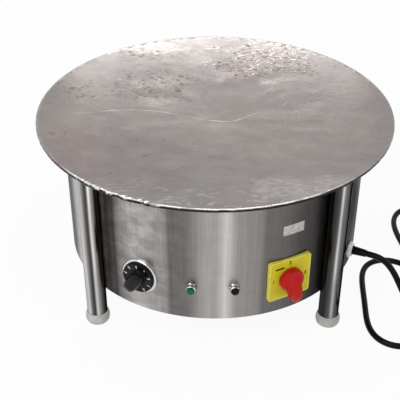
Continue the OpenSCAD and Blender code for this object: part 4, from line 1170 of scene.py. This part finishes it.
# place, what it faces, width, height and power
softboxes = {
    "keySoftbox": ((-1.0, -1.3, 1.9), (0, 0, 0.15), 1.4, 1.0, 16),
    "rearLeft": ((-0.12, 1.75, 1.44), (-0.06, 0.2, 0.255), 0.24, 0.08, 0.74),
    "rearRight": ((0.12, 1.75, 1.44), (0.06, 0.2, 0.255), 0.24, 0.08, 0.55),
    "farLeft": ((-0.30, 1.75, 1.36), (-0.15, 0.2, 0.255), 0.12, 0.08, 0.085),
    "farRight": ((0.30, 1.75, 1.37), (0.15, 0.2, 0.255), 0.12, 0.08, 0.085),
}


# mixes what lights the object with the white that is seen
def showWhite(tree, lit, white, share, output):
    rays = addNode(tree, "LightPath").outputs
    seen = calc(tree, "MAXIMUM", rays["Is Camera Ray"], rays["Is Glossy Ray"])
    seen = calc(tree, "MAXIMUM", seen, rays["Is Transmission Ray"])
    mix = addNode(tree, "MixShader")
    tree.links.new(times(tree, seen, share), mix.inputs["Fac"])
    tree.links.new(lit.outputs[0], mix.inputs[1])
    tree.links.new(white.outputs[0], mix.inputs[2])
    tree.links.new(mix.outputs[0], addNode(tree, output).inputs["Surface"])


def addFloor(look):
    pickNone()
    bpy.ops.mesh.primitive_plane_add(size=look["floorSize"], location=(0, 0, -look["floorDrop"]))
    floor = newPiece("floor")
    material = bpy.data.materials.new("floorWhite")
    material.use_nodes = True
    tree = material.node_tree
    tree.nodes.clear()
    matte = addNode(tree, "BsdfDiffuse", {"Color": asColour(look["floorGrey"])})
    glow = addNode(tree, "Emission", {"Color": asColour(1), "Strength": 1.0})
    showWhite(tree, matte, glow, look["floorGlow"], "OutputMaterial")
    floor.data.materials.append(material)


def addRoom(look):
    scene.world = bpy.data.worlds.new("whiteRoom")
    scene.world.use_nodes = True
    tree = scene.world.node_tree
    tree.nodes.clear()
    light = addNode(tree, "Background", {"Color": asColour(1), "Strength": look["roomLight"]})
    white = addNode(tree, "Background", {"Color": asColour(1), "Strength": 1.0})
    showWhite(tree, light, white, 1.0, "OutputWorld")


def addSoftbox(name, place, target, width, height, power):
    data = bpy.data.lights.new(name, "AREA")
    data.shape = "RECTANGLE"
    data.size, data.size_y = width, height
    data.energy = power
    box = bpy.data.objects.new(name, data)
    box.location = place
    box.rotation_euler = (Vector(target) - Vector(place)).to_track_quat("-Z", "Y").to_euler()
    scene.collection.objects.link(box)


addFloor(studio)
addRoom(studio)
for name, row in softboxes.items():
    addSoftbox(name, *row)
print("floor and lights set")

bpy.context.view_layer.update()
